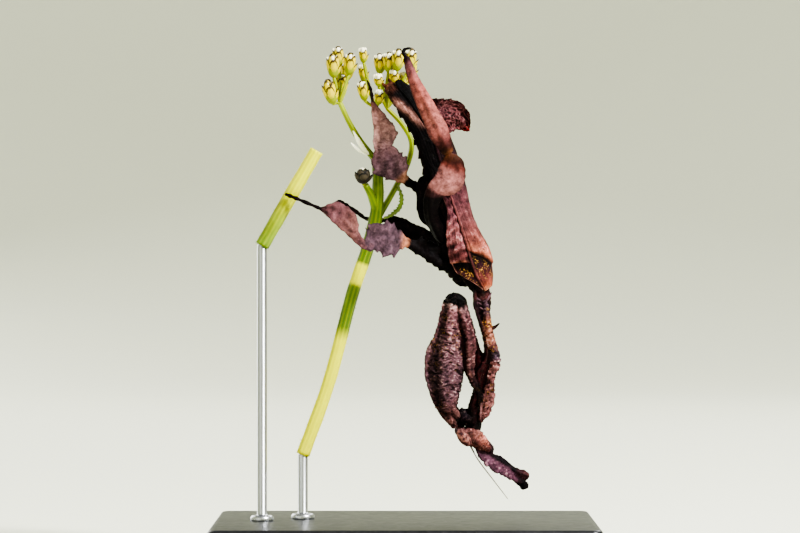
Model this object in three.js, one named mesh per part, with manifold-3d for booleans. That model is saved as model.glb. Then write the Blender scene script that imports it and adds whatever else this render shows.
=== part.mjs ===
// A ghost mantis, Phyllocrania paradoxa, adult female, hanging head down from a cut yarrow stem
// on a plain display stand. Millimetres, +Z up. The origin is the middle of the base's underside.
import * as THREE from "three";
import Module from "manifold-3d";

const wasm = await Module();
wasm.setup();

// ---- Driving sizes -------------------------------------------------------------------------

const GAP = 0.3; // clear space between nodes that meet
const MEMBRANE = 0.55; // thickness of a wing and of a leafy lobe
const RIM = 0.12; // half size of a tip where a limb or blade runs out

const BASE = { length: 42, depth: 28, height: 5, corner: 1.2 };
const ROD_RADIUS = 0.55;

const ACROSS = new THREE.Vector3(1, 0, 0);
const UP = new THREE.Vector3(0, 0, 1);

// ---- Solids --------------------------------------------------------------------------------

const vec = (p) => new THREE.Vector3(p[0], p[1], p[2]);

// Smooth value at u, from 0 to 1, through evenly spaced stations, never under the least one.
function along(stations, u) {
  const last = stations.length - 1;
  const x = THREE.MathUtils.clamp(u, 0, 1) * last;
  const i = Math.min(Math.floor(x), last - 1);
  const f = x - i;
  const at = (k) => stations[THREE.MathUtils.clamp(k, 0, last)];
  const [a, b, c, d] = [at(i - 1), at(i), at(i + 1), at(i + 2)];
  const value =
    0.5 * (2 * b + (c - a) * f + (2 * a - 5 * b + 4 * c - d) * f * f + (3 * b - 3 * c + d - a) * f ** 3);
  return Math.max(value, Math.min(...stations));
}

function manifoldOf(positions, triangles) {
  return new wasm.Manifold(
    new wasm.Mesh({
      numProp: 3,
      vertProperties: Float32Array.from(positions),
      triVerts: Uint32Array.from(triangles),
    }),
  );
}

function signedVolume(points, triangles) {
  let sum = 0;
  for (let i = 0; i < triangles.length; i += 3) {
    const [a, b, c] = [points[triangles[i]], points[triangles[i + 1]], points[triangles[i + 2]]];
    sum += a.dot(b.clone().cross(c));
  }
  return sum / 6;
}

// A closed solid through rings of points. Point 0 and the middle point of a ring are its two
// edges, and the rest pair off across it, so both faces are split into triangles alike.
function solidFromRings(rings) {
  const count = rings[0].length;
  const half = count / 2;
  const triangles = [];
  for (let i = 0; i + 1 < rings.length; i++) {
    for (let k = 0; k < count; k++) {
      const a = i * count + k;
      const b = i * count + ((k + 1) % count);
      const [c, d] = [b + count, a + count];
      if (k < half) triangles.push(a, b, c, a, c, d);
      else triangles.push(a, b, d, b, c, d);
    }
  }
  const cap = (first, flip) => {
    const put = (a, b, c) => triangles.push(first + a, first + (flip ? c : b), first + (flip ? b : c));
    put(0, 1, count - 1);
    for (let k = 1; k < half - 1; k++) {
      put(k, k + 1, count - k - 1);
      put(k, count - k - 1, count - k);
    }
    put(half - 1, half, half + 1);
  };
  cap(0, true);
  cap((rings.length - 1) * count, false);
  const points = rings.flat();
  if (signedVolume(points, triangles) < 0) {
    for (let i = 0; i < triangles.length; i += 3) {
      [triangles[i + 1], triangles[i + 2]] = [triangles[i + 2], triangles[i + 1]];
    }
  }
  return manifoldOf(points.flatMap((p) => [p.x, p.y, p.z]), triangles);
}

// Rings along a smooth curve. The section gives each ring as [along side, along depth] pairs.
function loft({ path, side, rings, section, grow = 0, from = 0, to = 1 }) {
  const curve = new THREE.CatmullRomCurve3(path.map(vec), false, "centripetal");
  const loops = [];
  for (let i = 0; i < rings; i++) {
    const u = THREE.MathUtils.lerp(from, to, i / (rings - 1));
    const ahead = curve.getTangent(u);
    const wide = side.clone().addScaledVector(ahead, -side.dot(ahead)).normalize();
    const deep = ahead.clone().cross(wide);
    const centre = curve.getPoint(u);
    if (i === 0) centre.addScaledVector(ahead, -grow);
    if (i === rings - 1) centre.addScaledVector(ahead, grow);
    loops.push(section(u, i).map(([w, d]) => centre.clone().addScaledVector(wide, w).addScaledVector(deep, d)));
  }
  return solidFromRings(loops);
}

// Section of a leafy limb: a round shaft with a thin blade out to each side.
function leafSection(plus, minus, shaft, blade, sides) {
  return Array.from({ length: sides }, (_, k) => {
    const turn = (2 * Math.PI * k) / sides;
    const reach = Math.cos(turn) >= 0 ? plus : minus;
    const w = reach * Math.cos(turn);
    const round = shaft * Math.sqrt(Math.max(0, 1 - (w / Math.max(shaft, 1e-6)) ** 2));
    const thin = blade * Math.abs(Math.sin(turn)) ** 0.5;
    return [w, Math.sign(Math.sin(turn)) * (Math.abs(Math.sin(turn)) < 1e-9 ? 0 : Math.max(round, thin))];
  });
}

// A limb from rows of [x, y, z, reach to the side's plus, reach to its minus, shaft radius].
function limb(rows, { side = ACROSS, rings = 14, sides = 10, edge = () => 1, grow = 0, from = 0, to = 1 } = {}) {
  const column = (k) => rows.map((row) => row[k]);
  const section = (u, i) => {
    const notch = edge(i);
    const shaft = along(column(5), u);
    const blade = Math.min(MEMBRANE / 2, shaft);
    return leafSection(
      Math.max(along(column(3), u) * notch, shaft) + grow,
      Math.max(along(column(4), u) * notch, shaft) + grow,
      shaft + grow,
      blade + grow,
      sides,
    );
  };
  return loft({ path: rows, side, rings, section, grow, from, to });
}

// An oval ball with its radii along x, y and z, turned so that z points along the axis.
function ball(centre, radii, axis = [0, 0, 1], around = 8, down = 6) {
  const turn = new THREE.Quaternion().setFromUnitVectors(UP, vec(axis).normalize());
  const points = [];
  const triangles = [];
  const put = (x, y, z) =>
    points.push(new THREE.Vector3(x * radii[0], y * radii[1], z * radii[2]).applyQuaternion(turn).add(vec(centre)));
  put(0, 0, 1);
  for (let j = 1; j < down; j++) {
    const polar = (Math.PI * j) / down;
    for (let k = 0; k < around; k++) {
      const round = (2 * Math.PI * k) / around;
      put(Math.sin(polar) * Math.cos(round), Math.sin(polar) * Math.sin(round), Math.cos(polar));
    }
  }
  put(0, 0, -1);
  const bottom = points.length - 1;
  for (let k = 0; k < around; k++) {
    const next = (k + 1) % around;
    triangles.push(0, 1 + k, 1 + next);
    for (let j = 0; j < down - 2; j++) {
      const [a, b] = [1 + j * around + k, 1 + j * around + next];
      triangles.push(a, a + around, b + around, a, b + around, b);
    }
    triangles.push(bottom, bottom - around + next, bottom - around + k);
  }
  return manifoldOf(points.flatMap((p) => [p.x, p.y, p.z]), triangles);
}

const fuse = (pieces) => pieces.reduce((whole, piece) => whole.add(piece));
const cut = (solid, ...neighbours) => neighbours.reduce((left, other) => left.subtract(other), solid);

// The largest closed body of a solid, as the mesh of a named node.
function node(name, solid, material) {
  const bodies = solid.decompose().sort((a, b) => b.volume() - a.volume());
  const { vertProperties, triVerts, numProp } = bodies[0].getMesh();
  if (numProp !== 3) throw new Error(`${name} carries more than positions`);
  const geometry = new THREE.BufferGeometry();
  geometry.setAttribute("position", new THREE.BufferAttribute(Float32Array.from(vertProperties), 3));
  geometry.setIndex(Array.from(triVerts));
  geometry.computeVertexNormals();
  const mesh = new THREE.Mesh(geometry, material);
  mesh.name = name;
  return mesh;
}

// ---- Materials -----------------------------------------------------------------------------

const finish = (color, roughness) => new THREE.MeshStandardMaterial({ color, roughness, metalness: 0 });
const FINISH = {
  body: finish(0x4a2a2c, 0.75),
  wing: finish(0x7a4844, 0.7),
  leg: finish(0x4c3038, 0.75),
  dark: finish(0x1c1216, 0.6),
  eye: finish(0x9a6a62, 0.35),
  feeler: finish(0x6f6a3c, 0.6),
  stem: finish(0x9fb24a, 0.7),
  bud: finish(0xe6e2a4, 0.65),
  stand: finish(0x1a1a1c, 0.4),
  rod: finish(0x9a9ca0, 0.3),
};

// ---- Trunk: thorax, abdomen and the forewings that roof them --------------------------------

// Rows run from the front of the thorax to the abdomen's tip: x, y, z, half breadth, half depth.
const TRUNK = [
  [8.35, 0, 29.9, 0.75, 0.7],
  [7.75, 0, 31.4, 1.2, 1.1],
  [6.9, 0, 33.8, 1.7, 1.45],
  [5.75, 0, 36.7, 1.35, 1.4],
  [4.65, 0, 39.2, 1.3, 1.25],
  [4.0, 0, 41.5, 1.5, 1.15],
  [3.45, 0, 44.0, 1.6, 1.1],
  [2.75, 0, 46.4, 1.55, 1.05],
  [1.7, 0, 48.5, 1.45, 0.95],
  [0.1, 0, 50.6, 1.2, 0.8],
  [-1.9, 0.2, 53.0, 0.8, 0.5],
];
const TRUNK_LEFT = new THREE.Vector3(0.9, 0.42, 0).normalize();
const THORAX_END = 0.34; // share of the trunk's stations that is thorax
const ABDOMEN_START = 0.352;

const breadth = (u) => along(TRUNK.map((row) => row[3]), u);
const depth = (u) => along(TRUNK.map((row) => row[4]), u);

function trunk(from, to, rings, grow = 0) {
  const sides = 16;
  const section = (u) =>
    Array.from({ length: sides }, (_, k) => {
      const turn = (2 * Math.PI * k) / sides;
      return [(breadth(u) + grow) * Math.cos(turn), (depth(u) + grow) * Math.sin(turn)];
    });
  return loft({ path: TRUNK, side: TRUNK_LEFT, rings, section, grow, from, to });
}

const thorax = (grow = 0) => trunk(0, THORAX_END, 9, grow);
const abdomenCore = (grow = 0) => trunk(ABDOMEN_START, 1, 14, grow);

// Leafy lobes stand out from both sides of the abdomen's rings and point to its tip.
const LOBES = { first: 0.46, step: 0.1, count: 5, reach: 0.9, rake: 0.55, half: 0.55 };

function abdomen() {
  const curve = new THREE.CatmullRomCurve3(TRUNK.map(vec), false, "centripetal");
  const pieces = [abdomenCore()];
  for (let i = 0; i < LOBES.count; i++) {
    const u = LOBES.first + i * LOBES.step;
    const ahead = curve.getTangent(u);
    const wide = TRUNK_LEFT.clone().addScaledVector(ahead, -TRUNK_LEFT.dot(ahead)).normalize();
    for (const hand of [-1, 1]) {
      const at = (out, rear) =>
        curve.getPoint(u).addScaledVector(wide, hand * (breadth(u) + out)).addScaledVector(ahead, rear).toArray();
      const rows = [
        [...at(-0.6, 0), LOBES.half, LOBES.half, 0.25],
        [...at(0.2, LOBES.rake / 2), LOBES.half * 0.8, LOBES.half * 0.8, 0.25],
        [...at(LOBES.reach, LOBES.rake), RIM, RIM, RIM],
      ];
      pieces.push(limb(rows, { side: ahead, rings: 3, sides: 6 }));
    }
  }
  return fuse(pieces);
}

// A forewing is a curved sheet over half of the trunk's back. It runs from the shoulder to past
// the abdomen's end, and from the seam on the back's midline round to the side. Its long veins
// and cross veins are raised in its outer face.
const WING = {
  from: 0.02,
  to: 0.985,
  rings: 31,
  columns: 8,
  seam: 0.17,
  wrap: [0.9, 1.2, 1.2, 1.2, 1.2, 1.25, 1.25, 1.15, 0.9],
  flare: [0, 0.1, 0.1, 0.1, 0.1, 0.2, 0.3, 0.3, 0.2],
  longVein: 0.13,
  crossVein: 0.1,
  crossEvery: 3,
};

function forewing(hand, grow = 0) {
  const { columns } = WING;
  const section = (u, i) => {
    const t = (u - WING.from) / (WING.to - WING.from);
    const turnTo = along(WING.wrap, t);
    const at = (k, lift) => {
      const share = k / columns;
      const turn = turnTo * share;
      const out = GAP + lift + along(WING.flare, t) * share ** 3;
      const w = WING.seam + (breadth(u) + out) * Math.sin(turn);
      return [hand * w, -(depth(u) + out) * Math.cos(turn)];
    };
    const outer = [];
    const inner = [];
    const crossing = i % WING.crossEvery === 1 ? WING.crossVein : 0;
    for (let k = 1; k < columns; k++) {
      const ridge = k % 2 === 0 ? Math.max(WING.longVein, crossing) : crossing;
      outer.push(at(k, MEMBRANE + grow + ridge));
      inner.unshift(at(k, -grow));
    }
    const middle = MEMBRANE / 2;
    return [at(-grow / 3, middle), ...outer, at(columns + grow, middle), ...inner];
  };
  return loft({ path: TRUNK, side: TRUNK_LEFT, rings: WING.rings, section, grow, from: WING.from, to: WING.to });
}

// The left forewing's rear edge stands out as a broad leafy flap.
const FLAP = [
  [2.7, 0.1, 49.4, 1.5, 1.8, 0.27],
  [4.3, 0.1, 49.4, 1.65, 1.9, 0.27],
  [5.7, 0.1, 49.0, 1.5, 1.6, 0.27],
  [6.7, 0.1, 48.2, 0.8, 0.7, 0.27],
];
const flap = () => limb(FLAP, { side: UP, rings: 8, sides: 8, edge: (i) => 1 + 0.06 * Math.cos(2.3 * i) });

// ---- Pronotum, neck and head ---------------------------------------------------------------

const PRONOTUM_LEFT = new THREE.Vector3(0.72, 0.69, 0).normalize();
const PRONOTUM = [
  [8.25, 0, 30.35, 1.4, 1.35, 0.85],
  [8.45, 0, 29.2, 1.6, 1.6, 0.85],
  [8.6, 0, 27.9, 1.35, 1.35, 0.75],
  [9.0, 0, 26.1, 1.0, 1.0, 0.65],
  [9.35, 0, 24.8, 0.95, 1.0, 0.65],
  [9.35, 0, 22.7, 1.55, 1.6, 0.6],
  [9.1, 0, 21.3, 1.65, 1.75, 0.65],
  [8.75, 0, 20.0, 1.4, 1.5, 0.65],
  [8.55, 0, 18.2, 1.8, 1.75, 0.7],
  [8.2, 0, 17.2, 1.7, 1.7, 0.7],
  [7.8, 0, 16.3, 1.1, 1.2, 0.6],
];
const pronotumPlate = (grow = 0) =>
  limb(PRONOTUM, { side: PRONOTUM_LEFT, rings: 25, sides: 12, grow, edge: (i) => 1 + 0.04 * Math.sin(2.2 * i) });
const THORN = [
  [9.1, -0.4, 26.0, 0.3, 0.3, 0.3],
  [9.9, -0.55, 26.3, 0.25, 0.25, 0.22],
  [10.45, -0.65, 26.75, RIM, RIM, RIM],
];
const pronotum = () => fuse([pronotumPlate(), limb(THORN, { side: UP, rings: 4, sides: 6 })]);

const NECK = [
  [7.8, 0, 16.8, 0.8, 0.8, 0.8],
  [7.65, 0, 15.8, 0.8, 0.8, 0.8],
  [7.45, 0, 14.8, 0.75, 0.75, 0.75],
];
const HEAD_LEFT = new THREE.Vector3(0.25, 0.97, 0).normalize();
const HEAD = [
  [5.4, 0, 15.2, 0.4, 0.4, 0.35],
  [6.2, 0, 14.8, 1.2, 1.2, 0.7],
  [7.1, 0, 14.35, 1.8, 1.8, 0.95],
  [8.0, 0, 13.85, 1.9, 1.9, 1.05],
  [8.9, 0, 13.2, 1.4, 1.4, 0.9],
  [9.6, 0, 12.6, 0.95, 0.95, 0.6],
];
const head = (grow = 0) => limb(HEAD, { side: HEAD_LEFT, rings: 14, sides: 14, grow });
const EYE = { radii: [0.9, 0.9, 1.2], reach: 1.9 };
function eye(hand, grow = 0) {
  const centre = new THREE.Vector3(7.1, 0, 14.15).addScaledVector(HEAD_LEFT, hand * EYE.reach);
  const axis = HEAD_LEFT.clone().multiplyScalar(hand).add(new THREE.Vector3(0.35, 0, -0.3));
  return ball(centre.toArray(), EYE.radii.map((r) => r + grow), axis.toArray(), 12, 8);
}
// The crest is a leafy blade from the crown of the head with two tips, the lower one a knob.
const CREST = [
  [8.7, 0, 13.1, 0.9, 0.9, 0.35],
  [9.6, 0, 12.1, 1.1, 1.1, 0.35],
  [10.4, 0, 11.35, 1.2, 1.2, 0.33],
  [11.3, 0, 10.6, 0.95, 1.0, 0.3],
  [12.2, 0, 10.0, 0.8, 0.85, 0.28],
  [13.0, 0, 9.8, 0.55, 0.6, 0.27],
  [13.6, 0, 9.75, 0.4, 0.4, 0.27],
];
const CREST_KNOB = [
  [11.6, 0.1, 9.9, 0.3, 0.3, 0.27],
  [12.7, 0.1, 9.15, 0.3, 0.3, 0.27],
  [13.25, 0.1, 8.85, 0.48, 0.48, 0.42],
  [13.65, 0.1, 8.6, 0.25, 0.25, 0.22],
];
const CREST_LEFT = new THREE.Vector3(0.42, 0.62, 0.66).normalize();
const crestBlade = (grow = 0) =>
  limb(CREST, { side: CREST_LEFT, rings: 16, sides: 8, grow, edge: (i) => 1 + 0.1 * Math.sin(2.1 * i) });
const crestKnob = (grow = 0) => limb(CREST_KNOB, { side: CREST_LEFT, rings: 7, sides: 6, grow });
const MOUTH = [
  [6.0, 0, 15.1, 0.8, 0.8, 0.5],
  [6.05, 0, 16.0, 0.75, 0.75, 0.55],
  [6.2, 0, 16.8, 0.5, 0.5, 0.45],
  [6.3, 0, 17.4, 0.2, 0.2, 0.2],
];
const FEELER = {
  right: [
    [7.3, -0.6, 13.4],
    [8.7, -1.1, 10.7],
    [9.9, -1.4, 8.95],
    [11.1, -1.6, 7.75],
  ],
  left: [
    [7.5, 0.8, 13.2],
    [9.5, 2.1, 11.4],
    [11.4, 2.7, 10.2],
    [12.9, 3.1, 9.5],
  ],
};
const FEELER_RADII = [0.26, 0.25, 0.25, RIM];
const feeler = (points) => limb(points.map((p, i) => [...p, ...Array(3).fill(FEELER_RADII[i])]), { rings: 12, sides: 6 });

// ---- Legs: each from the body out, as femur with its coxa, tibia and foot --------------------

// The two raptorial legs are alike and folded side by side, the right one toward -y.
const FORE_COXA = [
  [7.9, -0.7, 18.0, 0.5, 0.5, 0.5],
  [7.55, -1.2, 19.4, 0.55, 0.55, 0.55],
  [7.3, -1.7, 21.5, 0.62, 0.62, 0.6],
  [7.35, -1.95, 24.0, 0.62, 0.62, 0.6],
  [6.9, -2.05, 26.6, 0.62, 0.62, 0.6],
  [6.35, -2.05, 28.2, 0.6, 0.6, 0.55],
  [5.9, -2.05, 29.3, 0.5, 0.5, 0.5],
];
const FORE_FEMUR = [
  [5.35, -2.05, 29.75, 0.5, 0.5, 0.4],
  [5.2, -2.05, 29.0, 0.95, 0.9, 0.6],
  [4.85, -2.0, 27.4, 1.1, 1.0, 0.65],
  [4.75, -2.0, 25.35, 1.5, 1.4, 0.7],
  [4.3, -2.0, 23.05, 2.1, 2.05, 0.8],
  [4.2, -2.0, 20.85, 2.1, 2.0, 0.8],
  [4.3, -1.95, 19.3, 1.75, 1.65, 0.7],
  [4.5, -1.85, 17.75, 1.25, 1.2, 0.6],
  [4.9, -1.7, 16.4, 0.8, 0.7, 0.5],
  [5.15, -1.6, 15.7, 0.45, 0.45, 0.4],
];
const FORE_TIBIA = [
  [4.9, -0.8, 16.0, 0.4, 0.4, 0.4],
  [3.95, -0.75, 17.2, 0.45, 0.45, 0.35],
  [3.15, -0.75, 19.0, 0.5, 0.5, 0.35],
  [2.75, -0.8, 21.05, 0.5, 0.5, 0.35],
  [3.0, -0.8, 23.15, 0.5, 0.5, 0.35],
  [3.7, -0.75, 25.0, 0.38, 0.38, 0.3],
  [4.4, -0.7, 26.1, RIM, RIM, RIM],
];
const FORE_TARSUS = [
  [3.7, -0.6, 24.6, 0.25, 0.25, 0.25],
  [4.4, -0.55, 25.9, 0.25, 0.25, 0.25],
  [4.8, -0.5, 27.4, RIM, RIM, RIM],
];
// Spines in a row along the left edge of a raptorial joint, by shares of its length. Each is
// rooted in the joint's blade and stands out past its edge.
const FEMUR_SPINES = { from: 0.36, to: 0.8, count: 7, out: 0.22, rise: 0.3, inward: 0.1, radius: 0.25 };
const TIBIA_SPINES = { from: 0.2, to: 0.8, count: 7, out: 0.3, rise: 0.3, inward: 0.15, radius: 0.22 };
const FAR_SHIFT = 0.15; // the left raptorial leg is held this much nearer to the body's back
const mirrored = (rows) => rows.map(([x, y, ...rest]) => [x + FAR_SHIFT, -y, ...rest]);

function spines(rows, { from, to, count, out, rise, inward, radius }, hand) {
  const curve = new THREE.CatmullRomCurve3(rows.map(vec), false, "centripetal");
  return Array.from({ length: count }, (_, i) => {
    const u = THREE.MathUtils.lerp(from, to, i / (count - 1));
    const middle = curve.getPoint(u);
    const reach = along(rows.map((row) => row[4]), u);
    const size = i % 2 === 0 ? 1 : 0.7;
    const y = middle.y + hand * inward;
    const line = [
      [middle.x - 0.55 * reach, y, middle.z, radius, radius, radius],
      [middle.x - reach - out * size, y, middle.z + rise * size, RIM / 2, RIM / 2, RIM / 2],
    ];
    return limb(line, { side: UP, rings: 2, sides: 6 });
  });
}

// The legs' coxae are part of the thorax. They reach from its underside to each walking leg.
const COXAE = [
  [[7.2, 0.5, 30.9, 0.5, 0.5, 0.5], [6.1, 0.5, 31.7, 0.65, 0.65, 0.6], [5.1, 0.2, 32.8, 0.6, 0.6, 0.6]],
  [[8.0, 1.0, 31.4, 0.5, 0.5, 0.5], [7.1, 1.7, 32.7, 0.6, 0.6, 0.55], [6.4, 2.0, 34.0, 0.5, 0.5, 0.5]],
  [[6.4, 0.5, 33.9, 0.5, 0.5, 0.5], [5.3, 0.4, 34.8, 0.6, 0.6, 0.55], [4.4, 0.0, 35.7, 0.5, 0.5, 0.5]],
  [[7.0, 1.0, 34.4, 0.5, 0.5, 0.5], [6.2, 1.7, 35.8, 0.6, 0.6, 0.55], [5.6, 2.1, 37.1, 0.5, 0.5, 0.5]],
];
const MID_RIGHT = {
  side: { femur: UP, tibia: new THREE.Vector3(0.6, 0, 0.8) },
  teeth: { femur: 0.1, tibia: 0.1 },
  femur: [
    [4.9, 0.1, 33.0, 0.9, 0.9, 0.7],
    [3.7, -0.4, 33.3, 1.2, 1.0, 0.6],
    [2.6, -1.0, 33.8, 0.95, 0.85, 0.5],
    [1.3, -1.8, 34.6, 0.6, 0.65, 0.45],
    [0.2, -2.3, 35.3, 0.4, 0.4, 0.35],
    [-1.0, -2.8, 35.6, 1.6, 1.5, 0.33],
    [-2.6, -3.1, 35.3, 1.9, 1.2, 0.33],
    [-4.0, -3.2, 34.9, 0.8, 0.4, 0.33],
  ],
  tibia: [
    [-4.5, -3.2, 35.0, 0.5, 0.35, 0.35],
    [-5.5, -3.15, 36.1, 1.3, 0.6, 0.33],
    [-6.6, -3.0, 37.2, 1.45, 0.6, 0.32],
    [-8.1, -2.8, 38.4, 1.0, 0.5, 0.3],
    [-9.2, -2.65, 39.2, 0.28, 0.28, 0.28],
  ],
  tarsus: [
    [-9.4, -2.6, 39.3, 0.25, 0.25, 0.25],
    [-11.3, -2.3, 40.1, 0.25, 0.25, 0.25],
    [-12.4, -2.1, 40.55, 0.25, 0.25, 0.25],
    [-13.2, -1.8, 40.8, RIM, RIM, RIM],
  ],
};
const MID_LEFT = {
  side: { femur: UP, tibia: UP },
  teeth: { femur: 0.1, tibia: 0.05 },
  femur: [
    [6.2, 2.1, 34.4, 0.6, 0.6, 0.55],
    [4.9, 2.3, 35.1, 0.75, 0.75, 0.6],
    [3.1, 2.7, 36.1, 0.65, 0.65, 0.5],
    [0.7, 3.3, 37.3, 0.7, 0.6, 0.35],
    [-1.0, 3.7, 37.8, 0.9, 0.5, 0.33],
    [-2.1, 3.9, 38.0, 0.4, 0.35, 0.33],
  ],
  tibia: [
    [-2.5, 3.95, 38.05, 0.33, 0.33, 0.33],
    [-4.2, 4.0, 38.3, 0.6, 0.35, 0.28],
    [-5.6, 3.9, 39.1, 0.35, 0.3, 0.27],
    [-6.6, 3.8, 39.8, 0.27, 0.27, 0.27],
  ],
  tarsus: [
    [-6.8, 3.78, 39.95, 0.25, 0.25, 0.25],
    [-7.3, 3.6, 40.2, 0.25, 0.25, 0.25],
    [-7.9, 3.4, 39.9, RIM, RIM, RIM],
  ],
};
const HIND_RIGHT = {
  side: { femur: ACROSS, tibia: ACROSS },
  teeth: { femur: 0.06, tibia: 0.03 },
  femur: [
    [4.2, -0.2, 35.9, 0.55, 0.55, 0.5],
    [3.2, -1.2, 36.7, 0.75, 0.75, 0.6],
    [2.5, -2.5, 38.6, 0.7, 0.7, 0.5],
    [2.9, -3.4, 41.0, 1.5, 0.6, 0.45],
    [4.2, -3.9, 42.7, 2.4, 0.9, 0.4],
    [4.9, -4.1, 44.2, 1.7, 1.0, 0.4],
    [5.0, -4.2, 45.0, 0.7, 0.7, 0.4],
  ],
  tibia: [
    [4.6, -4.2, 45.5, 0.8, 0.9, 0.4],
    [3.8, -4.2, 47.4, 1.05, 1.3, 0.45],
    [3.0, -4.15, 49.1, 0.95, 1.2, 0.45],
    [2.1, -4.05, 50.9, 0.85, 1.05, 0.4],
    [1.0, -3.8, 53.2, 0.6, 0.75, 0.35],
    [0.15, -3.5, 55.7, 0.4, 0.45, 0.3],
  ],
  tarsus: [
    [-0.05, -3.45, 55.9, 0.25, 0.25, 0.25],
    [-0.15, -3.3, 56.4, 0.25, 0.25, 0.25],
    [0.2, -3.1, 56.65, 0.25, 0.25, 0.25],
    [0.8, -2.9, 56.75, RIM, RIM, RIM],
  ],
};
const HIND_LEFT = {
  side: { femur: new THREE.Vector3(0.7, 0, 0.7), tibia: ACROSS },
  teeth: { femur: 0.12, tibia: 0.08 },
  femur: [
    [5.3, 2.15, 37.5, 0.6, 0.6, 0.55],
    [4.6, 2.4, 39.2, 0.65, 0.65, 0.6],
    [3.4, 2.5, 40.8, 0.6, 0.6, 0.55],
    [2.0, 2.1, 41.6, 0.55, 0.55, 0.5],
    [0.8, 1.6, 42.0, 0.5, 0.5, 0.42],
    [-0.1, 1.1, 42.5, 0.6, 0.5, 0.35],
    [-0.9, 0.8, 43.4, 1.5, 1.1, 0.33],
    [-1.6, 0.6, 44.3, 1.6, 1.5, 0.33],
    [-2.1, 0.5, 45.2, 1.3, 1.0, 0.33],
    [-2.4, 0.4, 45.9, 0.7, 0.4, 0.33],
  ],
  tibia: [
    [-2.55, 0.35, 46.2, 0.4, 0.35, 0.33],
    [-2.8, 0.3, 46.8, 1.9, 0.4, 0.33],
    [-2.95, 0.25, 47.8, 2.0, 0.5, 0.33],
    [-3.25, 0.2, 49.4, 1.1, 0.4, 0.3],
    [-3.55, 0.2, 50.9, 0.27, 0.27, 0.27],
  ],
  tarsus: [
    [-3.6, 0.2, 51.15, 0.25, 0.25, 0.25],
    [-3.8, 0.3, 52.5, 0.25, 0.25, 0.25],
    [-4.2, 0.5, 53.5, RIM, RIM, RIM],
  ],
};
// Leafy edges are cut by teeth, by this share of their reach.
const toothed = (share) => (i) => 1 + share * Math.sin(2.4 * i);

// ---- Perch: a cut yarrow stem with the shoots that the feet hold -----------------------------

const STEM = [
  [-11.3, 2.0, 12.2, 0.72],
  [-8.5, 2.0, 19.9, 0.7],
  [-5.7, 2.0, 30.3, 0.68],
  [-4.2, 2.2, 34.7, 0.68],
  [-3.2, 2.4, 38.6, 0.7],
  [-3.0, 2.6, 42.4, 0.6],
  [-3.2, 2.6, 44.6, 0.5],
];
const SHOOT_LEFT = [
  [-3.45, 2.5, 45.2, 0.3],
  [-4.9, 2.2, 46.7, 0.3],
  [-6.2, 1.6, 48.9, 0.28],
  [-7.2, 1.2, 51.0, 0.27],
];
const SHOOT_CENTRE = [
  [-3.1, 2.75, 45.3, 0.33],
  [-3.0, 3.1, 47.2, 0.3],
  [-3.3, 3.0, 49.0, 0.3],
  [-3.4, 2.6, 50.6, 0.3],
];
const SHOOT_RIGHT = [
  [-2.2, 2.8, 39.1, 0.33],
  [-1.1, 3.4, 41.6, 0.33],
  [0.4, 4.1, 44.6, 0.3],
  [0.7, 4.2, 46.8, 0.28],
  [-0.4, 4.1, 48.8, 0.27],
  [-2.0, 3.6, 50.5, 0.27],
];
// Buds: x, y, z of the middle, half width and half length.
const BUDS_LEFT = [
  [-7.9, 1.2, 54.8, 0.8, 1.3],
  [-7.4, 2.8, 55.9, 0.7, 1.15],
  [-6.1, 1.0, 55.0, 0.72, 1.2],
  [-8.2, 0.8, 51.9, 0.82, 1.35],
  [-7.1, 2.6, 52.9, 0.7, 1.1],
  [-6.5, 4.2, 54.4, 0.7, 1.1],
];
const BUDS_CENTRE = [
  [-4.6, 1.9, 52.1, 0.6, 1.1],
  [-2.9, 1.5, 51.4, 0.55, 0.8],
  [-4.6, 3.5, 54.2, 0.55, 0.95],
  [-4.6, 2.3, 56.1, 0.5, 0.8],
];
const BUDS_RIGHT = [
  [-2.8, 3.4, 55.2, 0.65, 1.1],
  [-1.8, 2.4, 55.3, 0.65, 1.1],
  [-0.8, 1.6, 55.5, 0.72, 1.2],
  [0.6, 2.8, 55.6, 0.72, 1.15],
  [-1.2, 2.0, 53.6, 0.6, 0.85],
  [-2.9, 1.6, 53.3, 0.55, 0.6],
  [-0.2, 3.8, 53.4, 0.6, 0.9],
  [-1.4, 4.8, 54.6, 0.65, 1.0],
  [0.7, 4.4, 54.6, 0.65, 1.0],
];
const stalk = (rows, { rings = 10, grow = 0, sides = 8 } = {}) =>
  limb(rows.map(([x, y, z, r]) => [x, y, z, r, r, r]), { rings, sides, grow });

// Buds on thin stalks that spring from one point.
function cluster(buds, hub) {
  return buds.map(([x, y, z, wide, long]) => {
    const out = new THREE.Vector3(x - hub[0], y - hub[1], z - hub[2]).normalize();
    const lean = out.clone().multiplyScalar(0.45).add(UP).normalize();
    const foot = new THREE.Vector3(x, y, z).addScaledVector(lean, -long * 0.6);
    const neck = stalk([[...hub, 0.27], [...foot.toArray(), 0.27]], { rings: 3, sides: 6 });
    return fuse([neck, ball([x, y, z], [wide, wide, long], lean.toArray(), 8, 5)]);
  });
}
const shoot = (rows, buds) => fuse([stalk(rows, { sides: 6 }), ...cluster(buds, rows[rows.length - 1].slice(0, 3))]);

const SMALL_BUD = [
  [-3.75, 1.9, 39.9, 0.28],
  [-4.2, 1.4, 41.2, 0.28],
  [-4.5, 1.2, 42.3, 0.3],
];
const LEAF = [
  [-1.0, 2.6, 40.9, 0.3, 0.3, 0.27],
  [-0.5, 2.5, 39.9, 0.45, 0.45, 0.27],
  [-0.9, 2.4, 38.7, 0.5, 0.5, 0.27],
  [-2.0, 2.2, 38.2, 0.3, 0.3, 0.25],
];
const SECOND_STEM = [
  [-15.7, -0.7, 35.3, 0.75],
  [-12.6, -0.75, 40.6, 0.75],
  [-9.7, -0.7, 45.6, 0.7],
];

// ---- Stand ---------------------------------------------------------------------------------

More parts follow.
